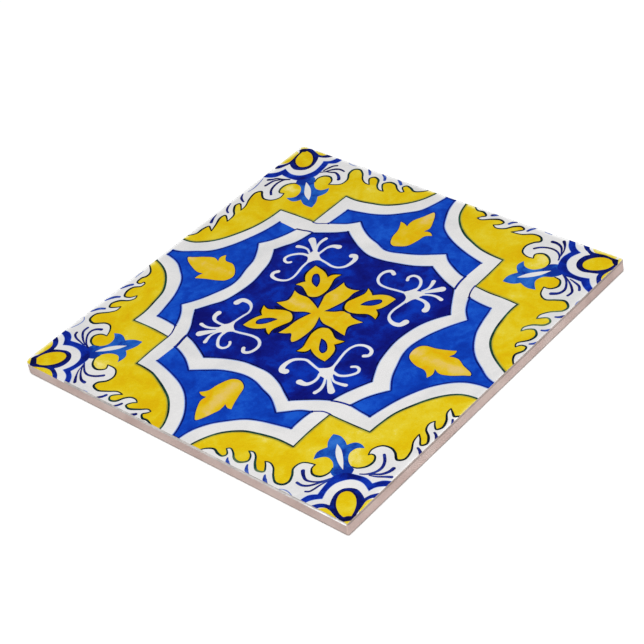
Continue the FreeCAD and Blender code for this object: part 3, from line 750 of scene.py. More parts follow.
# Soft tones of each paint: the spot or streak, how far it reaches, and how much lighter or darker it is
TONES = {
    # lighter washes and darker pools in the middle
    "deep": [
        ([(-16, 25.6)], 5, 0.22), ([(-33.4, 20.3)], 4, 0.22), ([(-21, 15)], 3, 0.12),
        ([(21, 34.9)], 3, 0.22), ([(26.2, 18.6), (27, 12)], 3.5, 0.2), ([(34.9, 14)], 4, 0.18),
        ([(-27, -14)], 5, 0.32), ([(-22.7, -36)], 3, 0.3), ([(33.6, -23)], 4, 0.32),
        ([(16.9, -28)], 5, 0.28), ([(15, -36.4), (18, -38.6)], 2.5, 0.25), ([(-4, 3.2)], 2.5, 0.3),
        ([(3.8, 3.2)], 2.5, 0.3), ([(-4.2, -4.8)], 2.5, 0.3), ([(3.5, -5.4)], 2.5, 0.3),
        ([(-36, 16)], 5, -0.2), ([(-16, 35)], 4, -0.15), ([(38, 19)], 4, -0.2), ([(35, -14)], 4, -0.15),
        ([(-37, -22.5)], 4, -0.18), ([(0, -27)], 5, -0.14), ([(27, -2)], 5, -0.14),
        ([(21.4, -39.6)], 4, -0.2), ([(26, -12)], 4, -0.12), ([(-27, 12)], 4, -0.12)],
    # lighter towards the crossings, darker beside the buds
    "blue": [
        ([(14, -51)], 5, 0.1), ([(-14, -50)], 5, 0.06), ([(-50, -16)], 4, 0.1), ([(12, 47)], 4, -0.08),
        ([(-14, 47)], 4, 0.07), ([(44.5, -31)], 4, 0.2), ([(51, -18)], 3, 0.1),
        ([(55.5, -13), (53, -21)], 2.5, -0.2), ([(47, 27)], 5, 0.14), ([(29, -46)], 4, 0.18),
        ([(-31, -46)], 4, 0.2), ([(-30, 46)], 4, 0.15), ([(30, 45)], 4, 0.15), ([(-45, 29)], 4, 0.15),
        ([(-46, -30)], 4, 0.15)],
    # pale streaks down the buds and the cross, between their amber sides
    "flower": [
        ([(0, -44), (0.4, -61)], 3.2, 0.36), ([(42, -1), (50, -1.2), (64, -1)], 2.2, 0.38),
        ([(61, -1)], 3, 0.15), ([(-44, -1), (-64, -1.2)], 1.0, 0.36), ([(-62.6, -1.2)], 2, 0.2),
        ([(-0.6, 60), (-0.8, 64)], 3.4, 0.36), ([(-4, 43), (2, 43)], 1.4, 0.2),
        ([(-5, -1.2), (-14, -1)], 1.8, 0.3), ([(-0.6, 7), (-0.8, 14)], 1.4, 0.2),
        ([(14.5, -1)], 1.6, 0.15), ([(-5.4, -16)], 1.4, 0.4), ([(-3.6, -46), (-3.4, -58)], 1.2, -0.2),
        ([(4, -47), (3.2, -58)], 1.2, -0.2), ([(46, -5.2), (53, -6)], 1.2, -0.2),
        ([(46, 2.2), (58, 1.6)], 1.2, -0.2)],
    # the eyes of the blossoms, and the bands, darker at their knots
    "royal": [
        ([(12.8, 12.4)], 3, 0.14), ([(13.6, -14.8)], 3, 0.14), ([(-14, -14.4)], 3, 0.12),
        ([(-13.4, 12.6)], 3, 0.14), ([(60, -58.4), (62, -57)], 1.2, -0.22), ([(-56.6, -61)], 1.4, -0.22),
        ([(58, 59.8)], 1.4, -0.2), ([(-59.8, 57.6)], 1.4, -0.2), ([(70.6, -58.4)], 2, 0.1),
        ([(-64, -58.8)], 2, 0.12), ([(72.4, 57)], 2, 0.1), ([(-66, 57.4)], 2, 0.1)],
    # the fleurs darken into the knots of the bands
    "sky": [
        ([(59.6, -58)], 3.6, -0.3), ([(-57.6, -59)], 4, -0.32), ([(58.6, 58)], 3, -0.3),
        ([(-58.6, 57)], 4, -0.32)],
    # royal at the flares and almost black in the corners
    "ring": [
        ([(61.4, -73)], 2.5, 0.22), ([(74.6, -60.4)], 2, 0.15), ([(-72.6, -61.6)], 2, 0.18),
        ([(-59.6, -73.8)], 2, 0.15), ([(60.4, 73.6)], 2, 0.12), ([(74.2, 60.8)], 2.5, 0.22),
        ([(69, -62.4), (66, -62.6)], 1.5, 0.12), ([(-61.4, -69.4)], 1.5, 0.12),
        ([(73.6, -73.4)], 1.8, -0.2), ([(-72.8, -73.4)], 2.2, -0.3),
        ([(72.6, 72.8), (68, 73)], 1.8, -0.3), ([(-72.8, 72.8), (-72.4, 69)], 1.8, -0.3)],
    # lemon and amber in the corners, a pale ball beside each fleur, and edges paler as painted highlight
    "yellow": [
        ([(52, -46)], 9, 0.12), ([(60, -34)], 9, 0.14), ([(27, -63), (30, -59)], 7, 0.12),
        ([(-50, -42)], 7, 0.12), ([(42, -57)], 6, 0.13), ([(28.5, -62)], 4, 0.15),
        ([(33.6, -58), (33.6, -66)], 1.6, -0.12), ([(60, -49.6)], 2, -0.1), ([(65, -21)], 6, 0.14),
        ([(60, 30)], 8, 0.09), ([(54, 42)], 9, 0.05), ([(-67, -68.5)], 6, -0.16),
        ([(-52, 46)], 12, -0.08), ([(-34, 62)], 8, 0.14), ([(-65, 31)], 7, 0.14),
        ([(-28, -62)], 9, -0.06), ([(57.6, -49.8), (60.6, -51.6)], 3.6, 0.28),
        ([(48.6, 57.4), (51.2, 61.2)], 4.2, 0.15), ([(59.5, 51)], 3, 0.2),
        ([(-57.6, 49.2), (-60.2, 50.2)], 2.8, 0.6), ([(-47.6, -57.6), (-50.2, -61.2)], 4.2, 0.2),
        # painted highlight along the left, back and right edges
        ([(-75.2, -76), (-75.2, 76)], 1.5, 0.7), ([(-76, 75.2), (76, 75.2)], 1.5, 0.7),
        ([(75.6, -76), (75.6, 76)], 1.3, 0.4)],
    # the lines round the flames thin out on two sides and are darker on the others
    "outline": [
        ([(22, -72.4), (38, -72)], 3, 0.35), ([(68, 28), (72, 42)], 4, 0.4),
        ([(68, -48), (71, -22)], 5, -0.2), ([(-70, -42), (-70, 42)], 6, -0.15),
        ([(22, 71), (46, 71)], 5, -0.15)],
    # darker on three sides
    "comma": [
        ([(73, -46), (73, -18)], 6, -0.25), ([(-40, -74), (-18, -74)], 6, -0.2),
        ([(-74, 18), (-74, 46)], 6, -0.15)],
    # the lines round the blossoms are lighter on their outer sides
    "shadow": [
        ([(14, -21), (19, -20)], 4, 0.2), ([(14, 19), (19, 18)], 4, 0.2),
        ([(-14, -21), (-19, -20)], 4, 0.15), ([(-14, 19), (-19, 18)], 4, 0.15)],
    # the fans of three corners
    "ink": [
        ([(60, -60)], 14, 0.15), ([(-70, 49), (-54, 68)], 6, -0.25), ([(49, 69)], 6, -0.15)],
    # the back left boss
    "navy": [
        ([(-72.6, 70)], 5, -0.3)],
    # the thin line at the back left
    "faint": [
        ([(-73.4, 46)], 5, -0.35)],
    # painted highlight: the white is lighter along the left, back and right edges; it greys a little
    # elsewhere
    "white": [
        ([(-75.2, -76), (-75.2, 76)], 1.2, 0.9), ([(-76, 75.2), (76, 75.2)], 1.2, 0.8),
        ([(74.5, -76), (74.5, -20)], 0.7, 0.3), ([(74.6, -20), (74.6, 76)], 0.6, 0.25),
        ([(-36, -44)], 10, -0.1), ([(-62, 0)], 30, -0.08), ([(36.5, 0)], 8, -0.1)],
    # painted highlight: the arris is white at the back and left and glints along the front near the right
    # corner; painted shade: a dark line and greyer glaze along the front
    "arris_highlight_and_shade": [
        ([(-75.2, -76), (-75.2, 76)], 2, 0.6), ([(-76, 75.2), (76, 75.2)], 2, 0.6),
        ([(34, -75.1), (76, -75.1)], 0.35, 0.2), ([(30, -74.4), (76, -74.4)], 0.2, -0.3),
        ([(58, -75.1), (76, -75.1)], 0.4, 0.35), ([(-54, -75), (-30, -75)], 2, -0.14)],
}


# Curves of the drawing

def smooth(points):
    """Points along a smooth curve through the given ones."""
    points = np.array(points, float)
    gaps = np.sqrt(np.linalg.norm(np.diff(points, axis=0), axis=1))
    secants = np.diff(points, axis=0) / gaps[:, None]
    slopes = np.vstack([secants[:1], secants])
    if len(points) > 2:
        before = gaps[:-1, None]
        after = gaps[1:, None]
        slopes[1:-1] = (secants[:-1] * after + secants[1:] * before) / (before + after)
        slopes[0] = 1.5 * secants[0] - 0.5 * slopes[1]
        slopes[-1] = 1.5 * secants[-1] - 0.5 * slopes[-2]
    curve = [points[0]]
    for k, gap in enumerate(gaps):
        count = max(2, math.ceil(gap ** 2 / CURVE_STEP))
        for t in np.arange(1, count + 1) / count:
            rise = t * t * (3 - 2 * t)
            leave = t * (1 - t) ** 2
            arrive = t * t * (t - 1)
            bend = gap * (leave * slopes[k] + arrive * slopes[k + 1])
            curve.append((1 - rise) * points[k] + rise * points[k + 1] + bend)
    return np.array(curve)


def sweeps_of(outline):
    """Each sweep of an outline with the point that it starts from."""
    for last, sweep in zip(outline, outline[1:]):
        yield last[-1:] + sweep


def closed(outline):
    """The points of a closed outline."""
    return np.vstack([smooth(sweep)[:-1] for sweep in sweeps_of(outline)] + [outline[-1][-1:]])


def brushed(points, widths, aside=0.0):
    """The outline of a brush stroke along a smooth curve, or a step to its left, round at both ends."""
    middle = smooth(points)
    steps = np.linalg.norm(np.diff(middle, axis=0), axis=1)
    along = np.concatenate([[0], np.cumsum(steps)]) / steps.sum()
    half = np.interp(along, np.linspace(0, 1, len(widths)), widths) / 2
    heading = np.gradient(middle, axis=0)
    heading /= np.linalg.norm(heading, axis=1)[:, None]
    left = np.stack([-heading[:, 1], heading[:, 0]], axis=1)
    middle = middle + left * aside
    side = left * half[:, None]
    turns = np.linspace(0, math.pi, BRUSH_END_STEPS + 1)[1:-1, None]
    end_cap = middle[-1] + np.cos(turns) * side[-1] + np.sin(turns) * heading[-1] * half[-1]
    start_cap = middle[0] - np.cos(turns) * side[0] - np.sin(turns) * heading[0] * half[0]
    return np.vstack([middle + side, end_cap, (middle - side)[::-1], start_cap])


def rounded_square(half, radii, step, corner_steps):
    """A square about the middle with four round corners, anticlockwise from the right side's front end."""
    count = round(2 * half / step)
    angles = math.pi / 2 * np.arange(corner_steps) / corner_steps
    loop = []
    for quarter, radius in enumerate(radii):
        heights = np.linspace(radii[quarter - 1] - half, half - radius, count, endpoint=False)
        side = np.column_stack([np.full(count, half), heights])
        corner = half - radius + radius * np.column_stack([np.cos(angles), np.sin(angles)])
        for points in (side, corner):
            for _ in range(quarter):
                points = np.column_stack([-points[:, 1], points[:, 0]])
            loop.append(points)
    return np.vstack(loop)


def spread(widths, share):
    """Brush widths as the wet paint spreads."""
    return [width * share for width in widths]


# The painting, layer on layer

def turn_of(outline):
    """Which way round a closed outline runs: 1 if anticlockwise, -1 if clockwise."""
    x, y = closed(outline).T
    return np.sign(np.sum(x * np.roll(y, -1) - np.roll(x, -1) * y))


def lines(paint, outline, widths, inset=0.0):
    """A brushed line along each sweep of a closed outline, or a little inside it."""
    aside = turn_of(outline) * inset
    return [(paint, brushed(sweep, widths, aside)) for sweep in sweeps_of(outline)]


def yellow_corner(field):
    """One yellow corner field and the dark line round it, which stains the yellow beside the strap."""
    near = field["near_flames"] + field["near_ball"][1:]
    far = field["far_ball"] + field["far_flames"][1:]
    whole = field["strap"] + near + far
    aside = turn_of(whole) * STRAP_STAIN_INSET
    layers = [("yellow", closed(whole))]
    layers += [("stain", brushed(sweep, STRAP_STAIN, aside)) for sweep in sweeps_of(field["strap"])]
    for sweep, widths in zip(sweeps_of(field["strap"]), STRAP_LINES):
        layers.append(("strap_line", brushed(sweep, widths)))
    for part in ("near_flames", "near_ball", "far_ball", "far_flames"):
        layers += lines("outline", field[part], FLAME_LINE)
    return layers


def side_field(field):
    """One blue field between the straps, with the darker rim that its paint dried to."""
    layers = lines("bleed", field, FIELD_BLEED) + [("blue", closed(field))]
    return layers + lines("blue_rim", field, FIELD_RIM, FIELD_RIM_INSET)


def flower(outline, paint, widths):
    """A yellow flower or bud with a dark line round it."""
    return lines(paint, outline, widths) + [("flower", closed(outline))]


def scroll(hub, strokes):
    """A white scroll: its hub and the brush strokes that spring from it, which the blue creeps in on."""
    layers = [("white", closed(hub))]
    for widths, points in strokes:
        layers.insert(0, ("bleed", brushed(points, widths)))
        layers.append(("white", brushed(points, np.subtract(widths, SCROLL_CREEP))))
    return layers


def corner_flower(corner):
    """The band, fleur, ring and boss in one corner of the tile."""
    leaf, slit = FLEURS[corner]
    layers = lines("bleed", BANDS[corner], BAND_BLEED)
    layers += [("sky", closed(leaf)), ("white", closed(slit)), ("royal", closed(BANDS[corner]))]
    layers += [("yellow", closed(slip)) for slip in SLIPS[corner]]
    boss = BOSSES[corner]
    layers += [("ring", closed(RINGS[corner]))] + lines("navy", boss, BOSS_LINE) + [("yellow", closed(boss))]
    return layers


def painting():
    """Every layer of paint, in the order it is put on."""
    layers = []
    for field in YELLOW_FIELDS.values():
        layers += yellow_corner(field)
    for field in SIDE_FIELDS:
        layers += side_field(field)
    layers += lines("bleed", MIDDLE_FIELD, FIELD_BLEED) + [("deep", closed(MIDDLE_FIELD))]
    layers += lines("deep_rim", MIDDLE_FIELD, FIELD_RIM, FIELD_RIM_INSET)
    for width, points in CROSSING_LINES:
        layers.append(("blue_rim", brushed(points, spread((width, width), CROSSING_SPREAD))))
    for bud in BUDS:
        layers += flower(bud, "blue_rim", BUD_LINE)
    layers += [("deep_rim", brushed(points, widths)) for widths, points in POOLS]
    layers += flower(CROSS, "navy", PETAL_LINE)
    for petals, eye in BLOSSOMS:
        layers += flower(petals, "shadow", PETAL_LINE)
        layers += [("royal", closed(eye))] + lines("navy", eye, EYE_LINE)
    for hub, strokes in SCROLLS:
        layers += scroll(hub, strokes)
    for corner in FLEURS:
        layers += corner_flower(corner)
    layers += [("ink", brushed(points, spread(widths, FAN_SPREAD))) for widths, points in FAN_LINES]
    layers += [("comma", brushed(points, spread(widths, COMMA_SPREAD))) for widths, points in COMMAS]
    layers += [("faint", brushed(points, EDGE_LINE)) for points in EDGE_LINES]
    return layers


# The painted face as a mesh

FLAT_HALF = HALF_SIDE - ARRIS_RADIUS
FLAT_CORNERS = np.array(list(CORNER_RADII.values())) - ARRIS_RADIUS
ROLL = ARRIS_RADIUS * math.pi / 2


def quarter_of(points):
    """The quarter of the tile that each point is in, counted as the corners are."""
    right = points[:, 0] > 0
    back = points[:, 1] > 0
    return np.where(back, np.where(right, 0, 1), np.where(right, 3, 2))


def off_the_flat(points):
    """How far each point lies outside the flat of the face, and the direction outward there."""
    corner = FLAT_CORNERS[quarter_of(points)]
    reach = np.abs(points) - (FLAT_HALF - corner)[:, None]
    in_corner = (reach > 0).all(axis=1)
    outward = np.where(in_corner[:, None], np.maximum(reach, 0), reach == reach.max(axis=1, keepdims=True))
    length = np.linalg.norm(outward, axis=1)
    outward = outward / length[:, None] * np.where(points < 0, -1, 1)
    distance = np.where(in_corner, length, reach.max(axis=1)) - corner
    return distance, outward


def kept_on_face(points):
    """The points of an outline, with any that run off the glaze drawn back onto it."""
    distance, outward = off_the_flat(points)
    excess = np.maximum(distance - (ROLL - GLAZE_MARGIN), 0)
    return points - outward * excess[:, None]


def rolled_over(points):
    """The flat drawing laid on the face and rolled down over its rounded edge."""
    distance, outward = off_the_flat(points)
    beyond = np.maximum(distance, 0)
    angle = beyond / ARRIS_RADIUS
    across = points + outward * (ARRIS_RADIUS * np.sin(angle) - beyond)[:, None]
    height = THICKNESS - ARRIS_RADIUS * (1 - np.cos(angle))
    return np.column_stack([across, height])


def inside(points, polygon):
    """Which points a polygon winds round."""
    winding = np.zeros(len(points), int)
    starts = polygon
    ends = np.roll(polygon, -1, axis=0)
    for (x0, y0), (x1, y1) in zip(starts, ends):
        upward = (y0 <= points[:, 1]) & (points[:, 1] < y1)
        downward = (y1 <= points[:, 1]) & (points[:, 1] < y0)
        turn = (x1 - x0) * (points[:, 1] - y0) - (points[:, 0] - x0) * (y1 - y0)
        winding += upward & (turn > 0)
        winding -= downward & (turn < 0)
    return winding != 0


def paint_of(middles, layers):
    """The paint that lies on top at each point."""
    top = np.full(len(middles), PAINTS.index("white"))
    for paint, polygon in layers:
        low = polygon.min(axis=0)
        high = polygon.max(axis=0)
        near = np.flatnonzero((middles >= low).all(axis=1) & (middles <= high).all(axis=1))
        top[near[inside(middles[near], polygon)]] = PAINTS.index(paint)
    return top


def grid_points():
    """Even points between the outlines, so that tones can change softly inside a field."""
    ticks = np.arange(-FLAT_HALF + GRID_STEP / 2, FLAT_HALF, GRID_STEP)
    x, y = np.meshgrid(ticks, ticks)
    x[1::2] += GRID_STEP / 2
    points = np.column_stack([x.ravel(), y.ravel()])
    return points[off_the_flat(points)[0] < 0]


def loop_edges(start, count):
    """The edges round a loop of points."""
    return [(start + k, start + (k + 1) % count) for k in range(count)]


def cut_flat(loops, loose):
    """Cuts loops and loose points into triangles: gives points, triangles and each given point's number."""
    edges = []
    start = 0
    for loop in loops:
        edges += loop_edges(start, len(loop))
        start += len(loop)
    given = np.vstack(loops + loose)
    cut = delaunay_2d_cdt([Vector(point) for point in given], edges, [], 0, CDT_EPSILON, True)
    corners = np.array([tuple(corner) for corner in cut[0]])
    numbers = np.zeros(len(given), int)
    for number, origins in enumerate(cut[3]):
        numbers[origins] = number
    return corners, np.array(cut[2]), numbers


def rim_loop(row):
    """The loop round the face at a row of the rounded edge; rows between its ends waver as the glaze does."""
    distance = ROLL * row / ARRIS_ROWS
    loop = rounded_square(FLAT_HALF + distance, FLAT_CORNERS + distance, EDGE_STEP, CORNER_STEPS)
    if row in (0, ARRIS_ROWS):
        return loop
    turn = np.arange(len(loop)) / len(loop) * 2 * math.pi
    wave = sum(np.sin(turn * beats + lag) * share for beats, lag, share in GLAZE_WAVES)
    return loop + off_the_flat(loop)[1] * (GLAZE_WAVER * wave)[:, None]


def side_of(outward):
    """The side of the tile that each outward direction belongs to."""
    across = np.abs(outward[:, 0]) > np.abs(outward[:, 1])
    along_x = np.where(outward[:, 0] > 0, "right", "left")
    along_y = np.where(outward[:, 1] > 0, "back", "front")
    return np.where(across, along_x, along_y)


def painted_face():
    """The drawing cut into triangles: its points, its triangles, their paints, and the numbers of the rim."""
    layers = [(paint, kept_on_face(polygon)) for paint, polygon in painting()]
    rings = [rim_loop(row) for row in range(ARRIS_ROWS, -FLAT_ROWS - 1, -1)]
    corners, triangles, numbers = cut_flat(rings + [polygon for _, polygon in layers], [grid_points()])
    middles = corners[triangles].mean(axis=1)
    paints = paint_of(middles, layers)
    distance, outward = off_the_flat(middles)
    sides = side_of(outward)
    along = np.where(np.isin(sides, ["front", "back"]), middles[:, 0], middles[:, 1])
    # Painted shade and highlight on the arris of each side
    for side, (paint, row, start) in ARRIS_HIGHLIGHT_AND_SHADE.items():
        here = (sides == side) & (distance > ROLL * row / ARRIS_ROWS) & (along > start)
        paints[here] = PAINTS.index(paint)
    return corners, triangles, paints, numbers[:len(rings[0])]


# The rest of the tile: biscuit sides and keyed back

class Shell:
    """A growing mesh: points in millimetres, faces, and each face's paint and corners on the baked map."""

    def __init__(self):
        self.points = []
        self.faces = []
        self.paints = []
        self.map = []

    def add_points(self, points):
        """Adds points and gives their numbers."""
        first = len(self.points)
        self.points += [tuple(point) for point in points]
        return np.arange(first, len(self.points))

    def add_face(self, face, paint, spots):
        """Adds one face with its corners' spots on the map."""
        self.faces.append([int(corner) for corner in face])
        self.paints.append(PAINTS.index(paint))
        self.map += [tuple(spot) for spot in spots]

    def add_faces(self, faces, paint, spots_of):
        """Adds faces whose spots on the map follow from where their points are."""
        for face in faces:
            self.add_face(face, paint, spots_of(np.array([self.points[corner][:2] for corner in face])))

    def add_wall(self, upper, lower, paints, top, bottom):
        """Adds a wall of quads between two loops, with a paint and a strip of the map for each side."""
        count = len(upper)
        per_side = count // 4
        for k in range(count):
            n = (k + 1) % count
            side = k // per_side
            left = (k - side * per_side) / per_side * MAP_FACE
            right = left + MAP_FACE / per_side
            high = (side + top) * MAP_STRIP
            low = (side + bottom) * MAP_STRIP
            spots = [(left, high), (left, low), (right, low), (right, high)]
            self.add_face([upper[k], lower[k], lower[n], upper[n]], paints[side], spots)


def face_spots(points):
    """Where points of the painted face lie on the map: across nearly all of it."""
    return points / (2 * MAP_HALF) * MAP_FACE + (MAP_FACE / 2, 1 - MAP_FACE / 2)


def back_spots(points):
    """Where points of the back lie on the map: in a small square beside the face."""
    return points / (2 * MAP_HALF) * MAP_BACK + (1 - MAP_BACK / 2, 1 - MAP_BACK / 2)


def at_height(loop, height):
    """A flat loop lifted to a height, or to one height for each point."""
    return np.column_stack([loop, np.full(len(loop), height)])


def add_sides(shell, rim):
    """The bare sides, from the rim of the glaze down to the bevel round the back."""
    wall = np.array([shell.points[number][:2] for number in rim])
    outward = off_the_flat(wall)[1]
    under_arris = shell.add_points(at_height(wall, THICKNESS - ARRIS_RADIUS - ARRIS_STRIP_HEIGHT))
    shaded_foot_top = shell.add_points(at_height(wall, BACK_BEVEL + SHADED_FOOT_HEIGHT))
    bevel = shell.add_points(at_height(wall, BACK_BEVEL))
    # Painted shade: on the right side the strip under the arris is the darker clay, a shade line under the
    # glaze
    shell.add_wall(rim, under_arris, ARRIS_STRIP_PAINTS, WALL_TOP, WALL_ARRIS_STRIP)
    shell.add_wall(under_arris, shaded_foot_top, ["biscuit"] * 4, WALL_ARRIS_STRIP, WALL_SHADED_FOOT)
    # Painted shade: the foot strip takes the darker clay, as shade at the bottom of the sides
    shell.add_wall(shaded_foot_top, bevel, ["painted_shade_clay"] * 4, WALL_SHADED_FOOT, WALL_FOOT)
    return bevel, wall - outward * BACK_BEVEL


def pocket_places():
    """The middle of each pocket in the back, and the width of its mouth."""
    pitch = (2 * HALF_SIDE - 2 * KEY_RIM + KEY_RIB) / KEY_ROWS
    places = (np.arange(KEY_ROWS) - (KEY_ROWS - 1) / 2) * pitch
    return [(x, y) for x in places for y in places], pitch - KEY_RIB


def add_back(shell, bevel, rim):
    """The keyed back: a flat with rows of square pockets, which have leaning walls and flat floors."""
    places, mouth = pocket_places()
    taken_in = KEY_DEPTH * math.tan(math.radians(KEY_DRAFT_DEG))
    mouth_loop = rounded_square(mouth / 2, [KEY_CORNER_RADIUS] * 4, KEY_STEP, KEY_CORNER_STEPS)
    floor_loop = mouth_loop * (mouth / 2 - taken_in) / (mouth / 2)
    mouths = [mouth_loop + place for place in places]
    corners, triangles, numbers = cut_flat([rim] + mouths, [])
    middles = corners[triangles].mean(axis=1)
    covered = np.zeros(len(middles), bool)
    for loop in mouths:
        covered |= inside(middles, loop)
    ground = shell.add_points(at_height(corners, 0))
    numbers = ground[numbers]
    # Painted shade: the bevel round the back takes the darker clay
    shell.add_wall(bevel, numbers[:len(rim)], ["painted_shade_clay"] * 4, WALL_FOOT, BEVEL_FOOT)
    shell.add_faces(ground[triangles[~covered]], "biscuit", back_spots)
    for k, place in enumerate(places):
        first = len(rim) + k * len(mouth_loop)
        mouth_points = numbers[first:first + len(mouth_loop)]
        floor_points = shell.add_points(at_height(floor_loop + place, KEY_DEPTH))
        after = np.roll(mouth_points, -1)
        floor_after = np.roll(floor_points, -1)
        walls = np.column_stack([mouth_points, after, floor_after, floor_points])
        shell.add_faces(walls, "biscuit", back_spots)
        shell.add_faces([floor_points], "biscuit", back_spots)


def away_from(points, path):
    """How far each point lies from a spot, or from a streak of straight pieces."""
    away = np.linalg.norm(points - path[0], axis=1)
    for start, end in zip(np.array(path, float), np.array(path[1:], float)):
        piece = end - start
        along = np.clip((points - start) @ piece / (piece @ piece), 0, 1)
        away = np.minimum(away, np.linalg.norm(points - start - along[:, None] * piece, axis=1))
    return away


def tone_at(points, paints):
    """How much lighter or darker each paint is at each point."""
    tone = np.zeros(len(points))
    for paint, tones in TONES.items():
        here = np.flatnonzero(paints == PAINTS.index(paint))
        for path, reach, amount in tones:
            tone[here] += amount * np.exp(-(away_from(points[here], path) / reach) ** 2)
    return tone


def build_tile():
    """The whole tile as one closed mesh."""
    shell = Shell()
    corners, triangles, paints, rim = painted_face()
    shell.add_points(rolled_over(corners))
    spots = face_spots(corners)
    for triangle, paint in zip(triangles, paints):
        shell.add_face(triangle, PAINTS[paint], spots[triangle])
    bevel, back_rim = add_sides(shell, rim)
    add_back(shell, bevel, back_rim)

    mesh = bpy.data.meshes.new("azulejo")
    mesh.from_pydata(np.array(shell.points) * MM, [], shell.faces)
    mesh.polygons.foreach_set("material_index", shell.paints)
    layer = mesh.uv_layers.new(name="OFBake")
    layer.data.foreach_set("uv", np.array(shell.map, np.float32).ravel())
    turn_outward(mesh)
    corner_points = np.array(shell.points)[[loop.vertex_index for loop in mesh.loops], :2]
    face_paints = [face.material_index for face in mesh.polygons]
    corner_paints = np.repeat(face_paints, [len(face.vertices) for face in mesh.polygons])
    tone = mesh.attributes.new("tone", "FLOAT", "CORNER")
    tone.data.foreach_set("value", tone_at(corner_points, corner_paints))
    mesh.shade_smooth()
    mesh.set_sharp_from_angle(angle=math.radians(SHARP_DEG))
    tile = bpy.data.objects.new("azulejo", mesh)
    bpy.context.scene.collection.objects.link(tile)
    return tile


def turn_outward(mesh):
    """Turns every face of a closed mesh to look outward."""
    work = bmesh.new()
    work.from_mesh(mesh)
    bmesh.ops.recalc_face_normals(work, faces=work.faces)
    work.to_mesh(mesh)
    work.free()


# Materials

def linear(red, green, blue):
    """A colour as a screen shows it, 0 to 255, turned into light."""
    shares = [channel / 255 for channel in (red, green, blue)]
    light = [s / 12.92 if s <= 0.04045 else ((s + 0.055) / 1.055) ** 2.4 for s in shares]
    return (*light, 1.0)


def new_tree(name):
    """A new material and its empty node tree."""
    material = bpy.data.materials.new(name)
    material.use_nodes = True
    material.node_tree.nodes.clear()
    return material, material.node_tree


def add_node(tree, kind, inputs=None, **settings):
    """Adds a node, with its settings and with each input set or linked."""
    made = tree.nodes.new(kind)
    for name, value in settings.items():
        setattr(made, name, value)
    for name, value in (inputs or {}).items():
        if isinstance(value, bpy.types.NodeSocket):
            tree.links.new(value, made.inputs[name])
        else:
            made.inputs[name].default_value = value
    return made


def add_noise(tree, place, size, detail, distortion=0.0):
    """A noise over the tile with features of about a size in millimetres."""
    inputs = {"Vector": place, "Scale": 1 / (size * MM), "Detail": detail, "Distortion": distortion}
    return add_node(tree, "ShaderNodeTexNoise", inputs).outputs["Fac"]


def add_math(tree, operation, first, second):
    """A sum or product of two values."""
    made = add_node(tree, "ShaderNodeMath", operation=operation)
    for socket, value in zip(made.inputs, (first, second)):
        if isinstance(value, bpy.types.NodeSocket):
            tree.links.new(value, socket)
        else:
            socket.default_value = value
    return made.outputs[0]


def add_ramp(tree, factor, stops):
    """Colours that change along a factor."""
    ramp = add_node(tree, "ShaderNodeValToRGB", {"Fac": factor})
    band = ramp.color_ramp.elements
    while len(band) < len(stops):
        band.new(1.0)
    for element, (position, colour) in zip(band, stops):
        element.position = position
        element.color = linear(*colour)
    return ramp.outputs["Color"]


def add_range(tree, factor, low, high):
    """A noise turned into values between two ends."""
    inputs = {"Value": factor, "From Min": NOISE_LOW, "From Max": NOISE_HIGH, "To Min": low, "To Max": high}
    return add_node(tree, "ShaderNodeMapRange", inputs).outputs["Result"]


def glazed(name, shades, wash_size):
    """A fired glaze colour: brushed unevenly, mottled, finely grained, and glossy with a slight ripple."""
    material, tree = new_tree(name)
    place = add_node(tree, "ShaderNodeTexCoord").outputs["Object"]
    wash = add_noise(tree, place, wash_size, WASH_DETAIL, WASH_SWIRL)
    mottle = add_noise(tree, place, MOTTLE_SIZE, MOTTLE_DETAIL)
    grain = add_noise(tree, place, GRAIN_SIZE, GRAIN_DETAIL)
    tone = add_node(tree, "ShaderNodeAttribute", attribute_name="tone").outputs["Fac"]
    uneven = add_math(tree, "ADD", wash, add_math(tree, "MULTIPLY", mottle, MOTTLE_SHARE))
    uneven = add_math(tree, "ADD", uneven, add_math(tree, "MULTIPLY", grain, GRAIN_SHARE))
    uneven = add_math(tree, "ADD", uneven, -(MOTTLE_SHARE + GRAIN_SHARE) / 2)
    uneven = add_math(tree, "ADD", add_math(tree, "MINIMUM", uneven, WASH_PEAK), tone)
    colour = add_ramp(tree, uneven, list(zip(SHADE_STOPS, shades)))
    ripple = add_noise(tree, place, RIPPLE_SIZE, RIPPLE_DETAIL)
    bump_height = add_math(tree, "ADD", ripple, add_math(tree, "MULTIPLY", grain, GRAIN_BUMP))
    bump = add_node(tree, "ShaderNodeBump", {
        "Strength": BUMP_STRENGTH,
        "Distance": BUMP_DEPTH * MM,
        "Height": bump_height})
    shader = add_node(tree, "ShaderNodeBsdfPrincipled", {
        "Base Color": colour,
        "Roughness": add_range(tree, mottle, *GLAZE_ROUGH),
        "IOR": GLAZE_IOR,
        "Normal": bump.outputs["Normal"]})
    add_node(tree, "ShaderNodeOutputMaterial", {"Surface": shader.outputs["BSDF"]})
    return material


